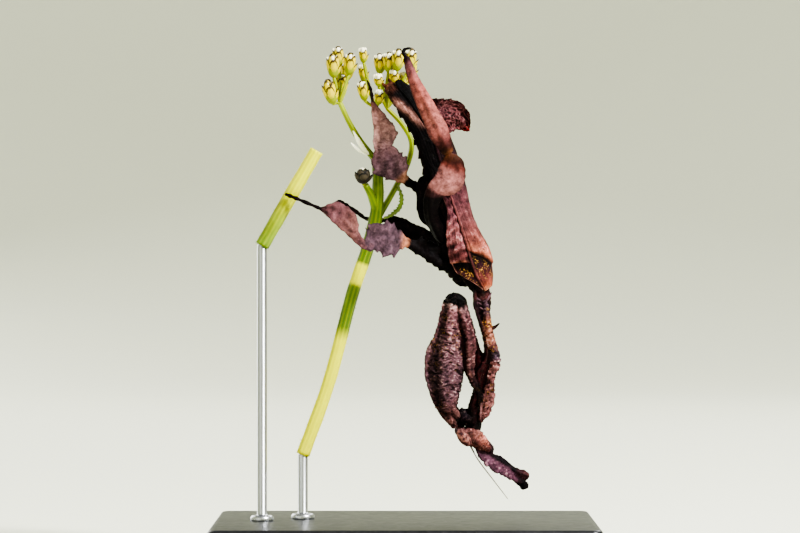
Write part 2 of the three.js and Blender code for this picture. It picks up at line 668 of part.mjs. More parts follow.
// The base is a plain block with rounded upright corners.
function baseMesh() {
  const { length, depth: deep, height, corner } = BASE;
  const shape = new THREE.Shape();
  const [x, y] = [length / 2, deep / 2];
  shape.moveTo(-x + corner, -y);
  shape.lineTo(x - corner, -y);
  shape.absarc(x - corner, -y + corner, corner, -Math.PI / 2, 0);
  shape.lineTo(x, y - corner);
  shape.absarc(x - corner, y - corner, corner, 0, Math.PI / 2);
  shape.lineTo(-x + corner, y);
  shape.absarc(-x + corner, y - corner, corner, Math.PI / 2, Math.PI);
  shape.lineTo(-x, -y + corner);
  shape.absarc(-x + corner, -y + corner, corner, Math.PI, 1.5 * Math.PI);
  const geometry = new THREE.ExtrudeGeometry(shape, { depth: height, bevelEnabled: false, curveSegments: 5 });
  const mesh = new THREE.Mesh(geometry, FINISH.stand);
  mesh.name = "stand_base";
  return mesh;
}

function rodMesh(name, [x, y, top]) {
  const bottom = BASE.height + GAP / 3;
  const tall = top - GAP - bottom;
  const mesh = new THREE.Mesh(new THREE.CylinderGeometry(ROD_RADIUS, ROD_RADIUS, tall, 16), FINISH.rod);
  mesh.rotation.x = Math.PI / 2;
  mesh.position.set(x, y, bottom + tall / 2);
  mesh.name = name;
  return mesh;
}

// ---- Assembly ------------------------------------------------------------------------------

const mantis = new THREE.Group();
const perch = new THREE.Group();
const stand = new THREE.Group();

// Body.
const chest = (grow = 0) => fuse([thorax(grow), ...COXAE.map((rows) => limb(rows, { rings: 5, sides: 8, grow }))]);
const wingLeft = cut(fuse([forewing(1), flap()]), forewing(-1, GAP), abdomenCore(GAP));
const wingsClear = [forewing(1, GAP), forewing(-1, GAP)];
mantis.add(node("thorax", cut(chest(), pronotumPlate(GAP), abdomenCore(GAP), ...wingsClear), FINISH.body));
mantis.add(node("abdomen", abdomen(), FINISH.body));
mantis.add(node("forewing_right", cut(forewing(-1), pronotumPlate(GAP)), FINISH.wing));
mantis.add(node("forewing_left", cut(wingLeft, pronotumPlate(GAP)), FINISH.wing));
mantis.add(node("pronotum", pronotum(), FINISH.body));
mantis.add(node("neck", cut(limb(NECK, { rings: 5, sides: 8 }), pronotumPlate(GAP), head(GAP)), FINISH.dark));
mantis.add(node("head", cut(head(), eye(1, GAP), eye(-1, GAP)), FINISH.body));
mantis.add(node("eye_left", eye(1), FINISH.eye));
mantis.add(node("eye_right", eye(-1), FINISH.eye));
const eyesClear = [eye(1, GAP), eye(-1, GAP)];
const crest = cut(fuse([crestBlade(), crestKnob()]), head(GAP), ...eyesClear);
mantis.add(node("crest", crest, FINISH.body));
for (const hand of ["left", "right"]) {
  const thread = cut(feeler(FEELER[hand]), head(GAP), crestBlade(GAP), crestKnob(GAP), ...eyesClear);
  mantis.add(node(`antenna_${hand}`, thread, FINISH.feeler));
}

// Raptorial legs, and the mouth between their knees.
let mouth = cut(limb(MOUTH, { side: HEAD_LEFT, rings: 7, sides: 8 }), head(GAP));
for (const hand of ["right", "left"]) {
  const rows = (list) => (hand === "right" ? list : mirrored(list));
  const turn = hand === "right" ? 1 : -1;
  const femur = (grow = 0) => limb(rows(FORE_FEMUR), { rings: 18, sides: 12, grow });
  const tibia = (grow = 0) => limb(rows(FORE_TIBIA), { rings: 14, sides: 8, grow });
  const coxa = limb(rows(FORE_COXA), { rings: 12, sides: 8 });
  const foot = limb(rows(FORE_TARSUS), { rings: 7, sides: 6 });
  const spinedFemur = fuse([femur(), ...spines(rows(FORE_FEMUR), FEMUR_SPINES, turn)]);
  const spinedTibia = fuse([tibia(), ...spines(rows(FORE_TIBIA), TIBIA_SPINES, turn)]);
  mouth = cut(mouth, tibia(GAP), femur(GAP));
  mantis.add(node(`foreleg_coxa_${hand}`, cut(coxa, femur(GAP), pronotumPlate(GAP)), FINISH.leg));
  mantis.add(node(`foreleg_femur_${hand}`, cut(spinedFemur, tibia(GAP)), FINISH.leg));
  mantis.add(node(`foreleg_tibia_${hand}`, cut(spinedTibia, femur(GAP)), FINISH.leg));
  mantis.add(node(`foreleg_tarsus_${hand}`, cut(foot, tibia(GAP), femur(GAP)), FINISH.dark));
}
mantis.add(node("mouthparts", mouth, FINISH.dark));

// Walking legs.
const WALKING = { midleg_right: MID_RIGHT, midleg_left: MID_LEFT, hindleg_right: HIND_RIGHT, hindleg_left: HIND_LEFT };
const bodyClear = [chest(GAP), abdomenCore(GAP), ...wingsClear];
for (const [name, { side, teeth, femur, tibia, tarsus }] of Object.entries(WALKING)) {
  const thigh = (grow = 0) =>
    limb(femur, { side: side.femur, rings: 19, sides: 8, grow, edge: toothed(teeth.femur) });
  const shin = (grow = 0) => limb(tibia, { side: side.tibia, rings: 13, sides: 8, grow, edge: toothed(teeth.tibia) });
  const foot = limb(tarsus, { side: UP, rings: 7, sides: 6 });
  mantis.add(node(`${name}_femur`, cut(thigh(), ...bodyClear), FINISH.leg));
  mantis.add(node(`${name}_tibia`, cut(shin(), thigh(GAP)), FINISH.leg));
  mantis.add(node(`${name}_tarsus`, cut(foot, shin(GAP)), FINISH.dark));
}

// Perch.
const stemClear = stalk(STEM, { rings: 14, grow: GAP });
perch.add(node("perch_stem", stalk(STEM, { rings: 14 }), FINISH.stem));
perch.add(node("perch_shoot_left", cut(shoot(SHOOT_LEFT, BUDS_LEFT), stemClear), FINISH.stem));
const leftClear = stalk(SHOOT_LEFT, { sides: 6, grow: GAP });
perch.add(node("perch_shoot_centre", cut(shoot(SHOOT_CENTRE, BUDS_CENTRE), stemClear, leftClear), FINISH.stem));
perch.add(node("perch_shoot_right", cut(shoot(SHOOT_RIGHT, BUDS_RIGHT), stemClear), FINISH.stem));
const smallBud = fuse([stalk(SMALL_BUD, { rings: 5, sides: 6 }), ball([-4.55, 1.15, 42.7], [0.85, 0.85, 0.75])]);
perch.add(node("perch_bud", cut(smallBud, stemClear), FINISH.bud));
const leafClear = [stemClear, stalk(SHOOT_RIGHT, { sides: 6, grow: GAP })];
perch.add(node("perch_leaf", cut(limb(LEAF, { rings: 8, sides: 6 }), ...leafClear), FINISH.stem));
perch.add(node("perch_second_stem", stalk(SECOND_STEM, { rings: 5 }), FINISH.stem));

// Stand.
stand.add(baseMesh());
stand.add(rodMesh("stand_rod_main", [STEM[0][0], STEM[0][1], STEM[0][2]]));
stand.add(rodMesh("stand_rod_second", [SECOND_STEM[0][0], SECOND_STEM[0][1], SECOND_STEM[0][2]]));

const part = new THREE.Group();
part.add(mantis, perch, stand);

export default part;
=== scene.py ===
"""A ghost mantis hanging head down from yarrow, as a museum model on a display stand.

Every table is in millimetres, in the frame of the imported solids: x to the right, y away from the
front, z up. Lengths become metres when a mesh is finished.
"""

import logging
import math
from dataclasses import dataclass, field
from enum import Enum
from functools import cache
from itertools import product
from typing import Any, Iterable, Sequence

import bpy
import numpy as np
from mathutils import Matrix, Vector
from mathutils.kdtree import KDTree

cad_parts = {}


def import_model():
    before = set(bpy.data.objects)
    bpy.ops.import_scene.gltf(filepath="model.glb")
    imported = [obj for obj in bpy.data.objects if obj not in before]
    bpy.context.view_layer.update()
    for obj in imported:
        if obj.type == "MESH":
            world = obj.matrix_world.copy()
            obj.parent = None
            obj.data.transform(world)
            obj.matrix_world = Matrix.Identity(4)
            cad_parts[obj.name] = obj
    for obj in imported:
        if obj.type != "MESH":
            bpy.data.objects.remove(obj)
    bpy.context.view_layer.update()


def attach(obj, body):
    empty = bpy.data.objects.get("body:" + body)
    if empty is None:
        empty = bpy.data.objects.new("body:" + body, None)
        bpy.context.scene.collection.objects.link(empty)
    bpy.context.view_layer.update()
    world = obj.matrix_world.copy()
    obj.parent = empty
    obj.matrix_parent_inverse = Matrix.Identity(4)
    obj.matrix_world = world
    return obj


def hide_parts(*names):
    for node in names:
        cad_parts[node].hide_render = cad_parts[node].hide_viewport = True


log = logging.getLogger("mantis")

MM = 0.001
SEED = 7
GOLDEN_ANGLE = 2.39996
Row = tuple[float, ...]
Array = np.ndarray
ACROSS = (1.0, 0.0, 0.0)
UP = (0.0, 0.0, 1.0)


# ---- Colour, noise and curves ---------------------------------------------------------------


def linear(hex_colour: str) -> tuple[float, float, float, float]:
    """Turns an sRGB hex colour to linear.

    Args:
        hex_colour: A colour such as "#7d4e4c".

    Returns:
        Linear red, green, blue and an alpha of one.
    """
    parts = [int(hex_colour[i : i + 2], 16) / 255 for i in (1, 3, 5)]
    r, g, b = (c / 12.92 if c <= 0.04045 else ((c + 0.055) / 1.055) ** 2.4 for c in parts)
    return (r, g, b, 1.0)


def per_mm(size: float) -> float:
    """Texture scale on Object coordinates for a pattern whose cells are this many mm wide."""
    return 1.0 / (size * MM)


def unit(v: Array) -> Array:
    """Vectors of length one along the last axis."""
    return v / np.maximum(np.linalg.norm(v, axis=-1, keepdims=True), 1e-12)


class Noise:
    """Smooth lattice noise with a fixed seed."""

    def __init__(self, seed: int) -> None:
        """Fills the lattice.

        Args:
            seed: Picks the pattern.
        """
        rng = np.random.default_rng(seed)
        self.order = rng.permutation(256)
        self.slopes = unit(rng.normal(size=(256, 3)))

    def __call__(self, points: Array) -> Array:
        """Noise at each point, from about -0.6 to 0.6.

        Args:
            points: Rows of three coordinates, one lattice cell wide.

        Returns:
            One value a row.
        """
        cell = np.floor(points).astype(int)
        f = points - cell
        fade = f**3 * (f * (f * 6 - 15) + 10)
        total = np.zeros(len(points))
        for corner in product((0, 1), repeat=3):
            c = np.array(corner)
            x, y, z = (cell + c).T & 255
            slope = self.slopes[self.order[(self.order[(self.order[x] + y) & 255] + z) & 255]]
            total += np.prod(np.where(c, fade, 1 - fade), axis=1) * ((f - c) * slope).sum(1)
        return total

    def layered(self, points: Array, octaves: int) -> Array:
        """Noise under finer noise: each octave is half as high and twice as fine as the last."""
        return sum(self(points * 2.0**k + 17.3 * k) / 2.0**k for k in range(octaves))


NOISE = Noise(SEED)


def along(stations: Sequence[Any], u: Array) -> Array:
    """Smooth values at shares of a list of evenly spaced stations.

    Args:
        stations: Numbers, or rows of numbers.
        u: Shares from 0 to 1.

    Returns:
        One value, or row of values, a share, never under the least station.
    """
    table = np.asarray(stations, float)
    last = len(table) - 1
    x = np.clip(u, 0, 1) * last
    i = np.minimum(np.floor(x).astype(int), last - 1)
    f = x - i
    if table.ndim > 1:
        f = f[:, None]
    a, b, c, d = (table[np.clip(i + k, 0, last)] for k in (-1, 0, 1, 2))
    value = 0.5 * (2 * b + (c - a) * f + (2 * a - 5 * b + 4 * c - d) * f**2 + (3 * b - 3 * c + d - a) * f**3)
    return np.maximum(value, table.min(axis=0))


def spline(points: Sequence[Row] | Array, u: Array) -> Array:
    """Places on a centripetal curve.

    Args:
        points: What the curve goes through; x, y and z come first in each row.
        u: Shares from 0 to 1, even in the points.

    Returns:
        One place a share.
    """
    pts = np.array([tuple(p)[:3] for p in points], float)
    last = len(pts) - 1
    x = np.clip(u, 0, 1) * last
    i = np.minimum(np.floor(x).astype(int), last - 1)
    f = (x - i)[:, None]
    padded = np.vstack([2 * pts[0] - pts[1], pts, 2 * pts[-1] - pts[-2]])
    p0, p1, p2, p3 = (padded[i + k] for k in range(4))
    d0, d1, d2 = (
        np.maximum(np.linalg.norm(q - p, axis=1, keepdims=True) ** 0.5, 1e-4)
        for p, q in ((p0, p1), (p1, p2), (p2, p3))
    )
    t1 = d1 * ((p1 - p0) / d0 - (p2 - p0) / (d0 + d1) + (p2 - p1) / d1)
    t2 = d1 * ((p2 - p1) / d1 - (p3 - p1) / (d1 + d2) + (p3 - p2) / d2)
    return p1 + t1 * f + (-3 * p1 + 3 * p2 - 2 * t1 - t2) * f**2 + (2 * p1 - 2 * p2 + t1 + t2) * f**3


def frames(path: Sequence[Row], side: Row, u: Array) -> tuple[Array, Array, Array, Array]:
    """Places and directions along a curve.

    Args:
        path: What the curve goes through.
        side: The direction that a section's width keeps to.
        u: Shares from 0 to 1.

    Returns:
        Places, and the directions ahead, to the side and in depth.
    """
    step = 1e-3
    ahead = unit(spline(path, np.minimum(u + step, 1)) - spline(path, np.maximum(u - step, 0)))
    wide = np.array(side, float) - (ahead @ np.array(side, float))[:, None] * ahead
    wide = unit(wide)
    return spline(path, u), ahead, wide, np.cross(ahead, wide)


def ramp(tones: Sequence[Any], u: Array) -> Array:
    """Colours at shares of a length.

    Args:
        tones: Evenly spaced hex colours, or pairs of a share and a hex colour.
        u: Shares from 0 to 1.

    Returns:
        Linear red, green and blue, a row a share.
    """
    if isinstance(tones[0], str):
        tones = [(i / max(len(tones) - 1, 1), tone) for i, tone in enumerate(tones)]
    stops = [t[0] for t in tones]
    colours = np.array([linear(t[1])[:3] for t in tones])
    return np.stack([np.interp(u, stops, colours[:, k]) for k in range(3)], -1)


def levels(values: Sequence[float], u: Array) -> Array:
    """One value a share: smooth between several values, or the only one."""
    return along(values, u) if len(values) > 1 else np.full(len(u), float(values[0]))


def smooth_step(low: float, high: float, x: Array) -> Array:
    """Zero under low, one over high, and a smooth rise between."""
    t = np.clip((x - low) / (high - low), 0, 1)
    return t * t * (3 - 2 * t)


# ---- Meshes ---------------------------------------------------------------------------------


def link(mesh: bpy.types.Mesh, name: str) -> bpy.types.Object:
    """Puts a mesh into the scene as an object at the origin.

    Args:
        mesh: The mesh.
        name: The object's and the mesh's name.

    Returns:
        The object.
    """
    mesh.name = name
    obj = bpy.data.objects.new(name, mesh)
    bpy.context.scene.collection.objects.link(obj)
    return obj


def mesh_of(points: Array, faces: Sequence[Sequence[int]]) -> bpy.types.Mesh:
    """A smoothly shaded mesh from places and faces.

    Args:
        points: Rows of x, y and z.
        faces: Corner numbers of each face.

    Returns:
        The mesh.
    """
    mesh = bpy.data.meshes.new("mesh")
    mesh.from_pydata(np.asarray(points, float).tolist(), [], [tuple(map(int, f)) for f in faces])
    mesh.polygons.foreach_set("use_smooth", np.ones(len(mesh.polygons), bool))
    mesh.update()
    return mesh


def store(mesh: bpy.types.Mesh, name: str, values: Array) -> None:
    """Keeps one value a vertex as an attribute.

    Args:
        mesh: What the values belong to.
        name: The attribute's name.
        values: Numbers, rows of three for a vector, or rows of four for a colour.
    """
    values = np.asarray(values, np.float32)
    kind, key = {
        1: ("FLOAT", "value"), 3: ("FLOAT_VECTOR", "vector"), 4: ("FLOAT_COLOR", "color")
    }[1 if values.ndim == 1 else values.shape[1]]
    layer = mesh.attributes.new(name, kind, "POINT")
    layer.data.foreach_set(key, values.ravel())


def vertices_of(mesh: bpy.types.Mesh, normals: bool = False) -> Array:
    """Reads a mesh's places or directions.

    Args:
        mesh: The mesh.
        normals: Whether to read the outward directions at its vertices.

    Returns:
        A row a vertex.
    """
    flat = np.zeros(len(mesh.vertices) * 3)
    source, key = (mesh.vertex_normals, "vector") if normals else (mesh.vertices, "co")
    source.foreach_get(key, flat)
    return flat.reshape(-1, 3)


def ring_faces(rings: int, count: int) -> list[tuple[int, ...]]:
    """Faces of a tube through rings of points, closed at both ends.

    Args:
        rings: Number of rings.
        count: Points in a ring.

    Returns:
        The corner numbers of each face.
    """
    faces: list[tuple[int, ...]] = []
    for i in range(rings - 1):
        for k in range(count):
            a, b = i * count + k, i * count + (k + 1) % count
            faces.append((a, b, b + count, a + count))
    return [*faces, tuple(reversed(range(count))), tuple(range((rings - 1) * count, rings * count))]


def joined(forms: Iterable[tuple[Array, Sequence[tuple[int, ...]]]]) -> tuple[Array, list[tuple[int, ...]]]:
    """Joins forms to one.

    Args:
        forms: The points and the faces of each.

    Returns:
        All points and all faces.
    """
    points: list[Array] = []
    faces: list[tuple[int, ...]] = []
    first = 0
    for own, corners in forms:
        points.append(own)
        faces += [tuple(k + first for k in face) for face in corners]
        first += len(own)
    return np.vstack(points), faces


def evaluated(obj: bpy.types.Object, name: str) -> bpy.types.Object:
    """Turns an object with modifiers to a plain mesh object and removes the old one.

    Args:
        obj: What carries the modifiers.
        name: The new object's name.

    Returns:
        The plain object.
    """
    obj.name = "spent"
    graph = bpy.context.evaluated_depsgraph_get()
    mesh = bpy.data.meshes.new_from_object(obj.evaluated_get(graph), depsgraph=graph)
    bpy.data.objects.remove(obj)
    return link(mesh, name)


def outward(mesh: bpy.types.Mesh) -> None:
    """Turns a closed mesh's faces to point outwards.

    Args:
        mesh: The mesh.
    """
    points = vertices_of(mesh)
    mesh.calc_loop_triangles()
    tri = np.zeros(len(mesh.loop_triangles) * 3, int)
    mesh.loop_triangles.foreach_get("vertices", tri)
    a, b, c = (points[tri.reshape(-1, 3)[:, k]] for k in range(3))
    if (a * np.cross(b, c)).sum() < 0:
        mesh.flip_normals()


# ---- Node trees -----------------------------------------------------------------------------


def add(
    tree: bpy.types.NodeTree, kind: str, inputs: dict[str | int, Any] | None = None, **settings: Any
) -> bpy.types.Node:
    """Adds a node with its settings and links.

    Args:
        tree: Where the node goes.
        kind: The node's type.
        inputs: For each named or numbered input a value, an output socket, or a node whose first output
            in use it takes.
        settings: The node's own properties, and ramp, the stops of a colour ramp.

    Returns:
        The node.
    """
    node = tree.nodes.new(kind)
    stops = settings.pop("ramp", None)
    for key, value in settings.items():
        setattr(node, key, value)
    if stops:
        elements = node.color_ramp.elements
        while len(elements) < len(stops):
            elements.new(0.5)
        for element, (place, colour) in zip(elements, stops):
            element.position = place
            element.color = linear(colour) if isinstance(colour, str) else (colour, colour, colour, 1.0)
    for key, value in (inputs or {}).items():
        if isinstance(value, bpy.types.Node):
            value = next(output for output in value.outputs if output.enabled)
        if isinstance(value, bpy.types.NodeSocket):
            tree.links.new(value, node.inputs[key])
        else:
            node.inputs[key].default_value = value
    return node


def geometry_tree(name: str, inputs: dict[str, float]) -> tuple[bpy.types.NodeTree, bpy.types.Node]:
    """Starts a geometry node tree with named inputs, the last of them for a material.

    Args:
        name: The tree's name.
        inputs: The default of each other input; a whole number makes it an integer.

    Returns:
        The tree and its group input node.
    """
    tree = bpy.data.node_groups.new(name, "GeometryNodeTree")
    tree.interface.new_socket("Geometry", in_out="INPUT", socket_type="NodeSocketGeometry")
    for label, default in inputs.items():
        kind = "NodeSocketInt" if isinstance(default, int) else "NodeSocketFloat"
        tree.interface.new_socket(label, in_out="INPUT", socket_type=kind).default_value = default
    tree.interface.new_socket("Material", in_out="INPUT", socket_type="NodeSocketMaterial")
    tree.interface.new_socket("Geometry", in_out="OUTPUT", socket_type="NodeSocketGeometry")
    return tree, add(tree, "NodeGroupInput")


def end_tree(
    tree: bpy.types.NodeTree, group: bpy.types.Node, instances: bpy.types.Node, smooth: bool = False
) -> bpy.types.NodeTree:
    """Makes a tree's instances real and gives them the material of its input.

    Args:
        tree: The tree.
        group: Its group input node.
        instances: The node that makes the instances.
        smooth: Whether they shade smoothly.

    Returns:
        The tree.
    """
    shape = add(tree, "GeometryNodeRealizeInstances", {"Geometry": instances})
    if smooth:
        shape = add(tree, "GeometryNodeSetShadeSmooth", {"Geometry": shape})
    dressed = add(tree, "GeometryNodeSetMaterial", {"Geometry": shape, "Material": group.outputs["Material"]})
    add(tree, "NodeGroupOutput", {"Geometry": dressed})
    return tree


def run_tree(
    tree: bpy.types.NodeTree, carrier: bpy.types.Object, name: str, values: dict[str, Any]
) -> bpy.types.Object:
    """Runs a geometry node tree on an object and keeps the result as a plain mesh.

    Args:
        tree: The tree.
        carrier: What it works on; it is used up.
        name: The result's name.
        values: A value for each named input.

    Returns:
        The plain object.
    """
    modifier = carrier.modifiers.new("nodes", "NODES")
    modifier.node_group = tree
    sockets = {i.name: i.identifier for i in tree.interface.items_tree if getattr(i, "in_out", "") == "INPUT"}
    for label, value in values.items():
        modifier[sockets[label]] = value
    return evaluated(carrier, name)


# ---- Finishes -------------------------------------------------------------------------------


@dataclass(frozen=True)
class Finish:
    """What every surface finish has: a name, and a tree that ends in one shader."""

    name: str

    def start(self) -> tuple[bpy.types.Material, bpy.types.NodeTree, bpy.types.NodeSocket]:
        """Starts a material.

        Returns:
            The empty material, its tree and the surface's own coordinates.
        """
        material = bpy.data.materials.new(self.name)
        material.use_nodes = True
        tree = material.node_tree
        tree.nodes.clear()
        return material, tree, add(tree, "ShaderNodeTexCoord").outputs["Object"]

    def end(self, tree: bpy.types.NodeTree, inputs: dict[str | int, Any]) -> None:
        """Adds the shader with its values and links, and the output."""
        shader = add(tree, "ShaderNodeBsdfPrincipled", inputs)
        add(tree, "ShaderNodeOutputMaterial", {"Surface": shader})


@dataclass(frozen=True)
class Cuticle(Finish):
    """Dry-leaf cuticle: waxy chitin, with painted shade nearly black in its folds and painted highlights on their
    crests.
    """

    mottle: float = 0.8  # mm, blotches of darker and paler brown
    crimp: float = 0.2  # mm, the finest folds, which run across each limb
    grain: float = 0.1  # mm, pitting between the folds
    net: float = 0.5  # mm, cells of the leaf-like veins
    fleck: float = 0.16  # mm, spacing of the golden scales
    stain: str = "#b0a4aa"  # what every tint is steeped in
    gold: str = "#d4962a"
    dark: str = "#0c0607"
    # painted highlight: the pale colour mixed onto fold crests
    pale: str = "#e2b8b2"
    roughness: float = 0.52

    def build(self) -> bpy.types.Material:
        """Makes the material, which reads the skin's tint, gold, veined, fold, crease and limb attributes.

        Returns:
            The material.
        """
        material, tree, at = self.start()
        tint = add(tree, "ShaderNodeAttribute", attribute_name="tint")
        gold, fold, crease, veined = (
            add(tree, "ShaderNodeAttribute", attribute_name=name).outputs["Fac"]
            for name in ("gold", "fold", "crease", "veined")
        )
        limb = add(tree, "ShaderNodeAttribute", attribute_name="limb").outputs["Vector"]
        blotch = add(tree, "ShaderNodeTexNoise", {
            "Vector": at, "Scale": per_mm(self.mottle), "Detail": 6.0, "Roughness": 0.65
        })
        pits = add(tree, "ShaderNodeTexNoise", {"Vector": at, "Scale": per_mm(self.grain), "Detail": 3.0})
        stretched = add(tree, "ShaderNodeMapping", {"Vector": limb, "Scale": (1.0, 0.4, 1.0)})
        crimps = add(tree, "ShaderNodeTexNoise", {
            "Vector": stretched, "Scale": per_mm(self.crimp), "Detail": 4.0, "Roughness": 0.6, "Distortion": 0.7
        })
        stained = add(
            tree, "ShaderNodeMix", {0: 1.0, 6: tint, 7: linear(self.stain)}, data_type="RGBA", blend_type="MULTIPLY"
        )
        shade = add(tree, "ShaderNodeValToRGB", {"Fac": blotch}, ramp=[(0.32, 0.28), (0.5, 0.92), (0.7, 1.7)])
        mottled = add(
            tree, "ShaderNodeMix", {0: 1.0, 6: stained, 7: shade}, data_type="RGBA", blend_type="MULTIPLY"
        )
        # painted shade and light: fold valleys darken and crests lighten, more where creases are strong
        hollow_shade = add(tree, "ShaderNodeMapRange", {0: fold, 1: -0.8, 2: 0.9, 3: 0.12, 4: 1.6})
        fine = add(tree, "ShaderNodeMapRange", {0: crimps, 1: 0.32, 2: 0.62, 3: 0.4, 4: 1.25})
        deep = add(tree, "ShaderNodeMath", {0: hollow_shade, 1: fine}, operation="MULTIPLY")
        depth = add(tree, "ShaderNodeMix", {0: crease, 2: 0.95, 3: deep}, data_type="FLOAT")
        folded = add(tree, "ShaderNodeMix", {0: 1.0, 6: mottled, 7: depth}, data_type="RGBA", blend_type="MULTIPLY")
        # painted highlights: pale colour on fold crests and crimp edges, fainter on dark tints
        crest = add(tree, "ShaderNodeMapRange", {0: fold, 1: 0.5, 2: 1.0, 3: 0.0, 4: 1.0})
        edge = add(tree, "ShaderNodeMapRange", {0: crimps, 1: 0.5, 2: 0.62, 3: 0.0, 4: 1.0})
        both = add(tree, "ShaderNodeMath", {0: crest, 1: edge}, operation="MULTIPLY")
        rugged = add(tree, "ShaderNodeMath", {0: crease, 1: crease}, operation="MULTIPLY")
        crest_highlight = add(tree, "ShaderNodeMath", {0: both, 1: rugged}, operation="MULTIPLY")
        bright = add(tree, "ShaderNodeRGBToBW", {0: stained})
        scarce = add(tree, "ShaderNodeMapRange", {0: bright, 1: 0.006, 2: 0.05, 3: 0.05, 4: 0.7})
        painted_glint = add(tree, "ShaderNodeMath", {0: crest_highlight, 1: scarce}, operation="MULTIPLY")
        highlighted = add(tree, "ShaderNodeMix", {0: painted_glint, 6: folded, 7: linear(self.pale)}, data_type="RGBA")
        cells = add(
            tree, "ShaderNodeTexVoronoi", {"Vector": at, "Scale": per_mm(self.net)}, feature="DISTANCE_TO_EDGE"
        )
        line = add(tree, "ShaderNodeMapRange", {0: cells, 1: 0.0, 2: 0.08, 3: 0.7, 4: 0.0})
        netted = add(tree, "ShaderNodeMath", {0: line, 1: veined}, operation="MULTIPLY")
        leafy = add(tree, "ShaderNodeMix", {0: netted, 6: highlighted, 7: linear(self.dark)}, data_type="RGBA")
        spots = add(tree, "ShaderNodeTexNoise", {
            "Vector": at, "Scale": per_mm(self.fleck), "Detail": 1.0, "Distortion": 0.2
        })
        small = add(tree, "ShaderNodeMapRange", {0: spots, 1: 0.58, 2: 0.66})
        flecked = add(tree, "ShaderNodeMath", {0: small, 1: gold}, operation="MULTIPLY")
        colour = add(tree, "ShaderNodeMix", {0: flecked, 6: leafy, 7: linear(self.gold)}, data_type="RGBA")
        rough = add(tree, "ShaderNodeMapRange", {
            0: pits, 1: 0.3, 2: 0.7, 3: self.roughness - 0.14, 4: self.roughness + 0.18
        })
        uneven = add(tree, "ShaderNodeMath", {0: crimps, 1: crease}, operation="MULTIPLY")
        coarse = add(tree, "ShaderNodeMath", {0: uneven, 1: 1.6, 2: blotch}, operation="MULTIPLY_ADD")
        relief = add(tree, "ShaderNodeMath", {0: pits, 1: 0.45, 2: coarse}, operation="MULTIPLY_ADD")
        bump = add(tree, "ShaderNodeBump", {"Height": relief, "Strength": 0.8, "Distance": 0.07 * MM})
        self.end(tree, {"Base Color": colour, "Roughness": rough, "Normal": bump, "Specular IOR Level": 0.035})
        return material


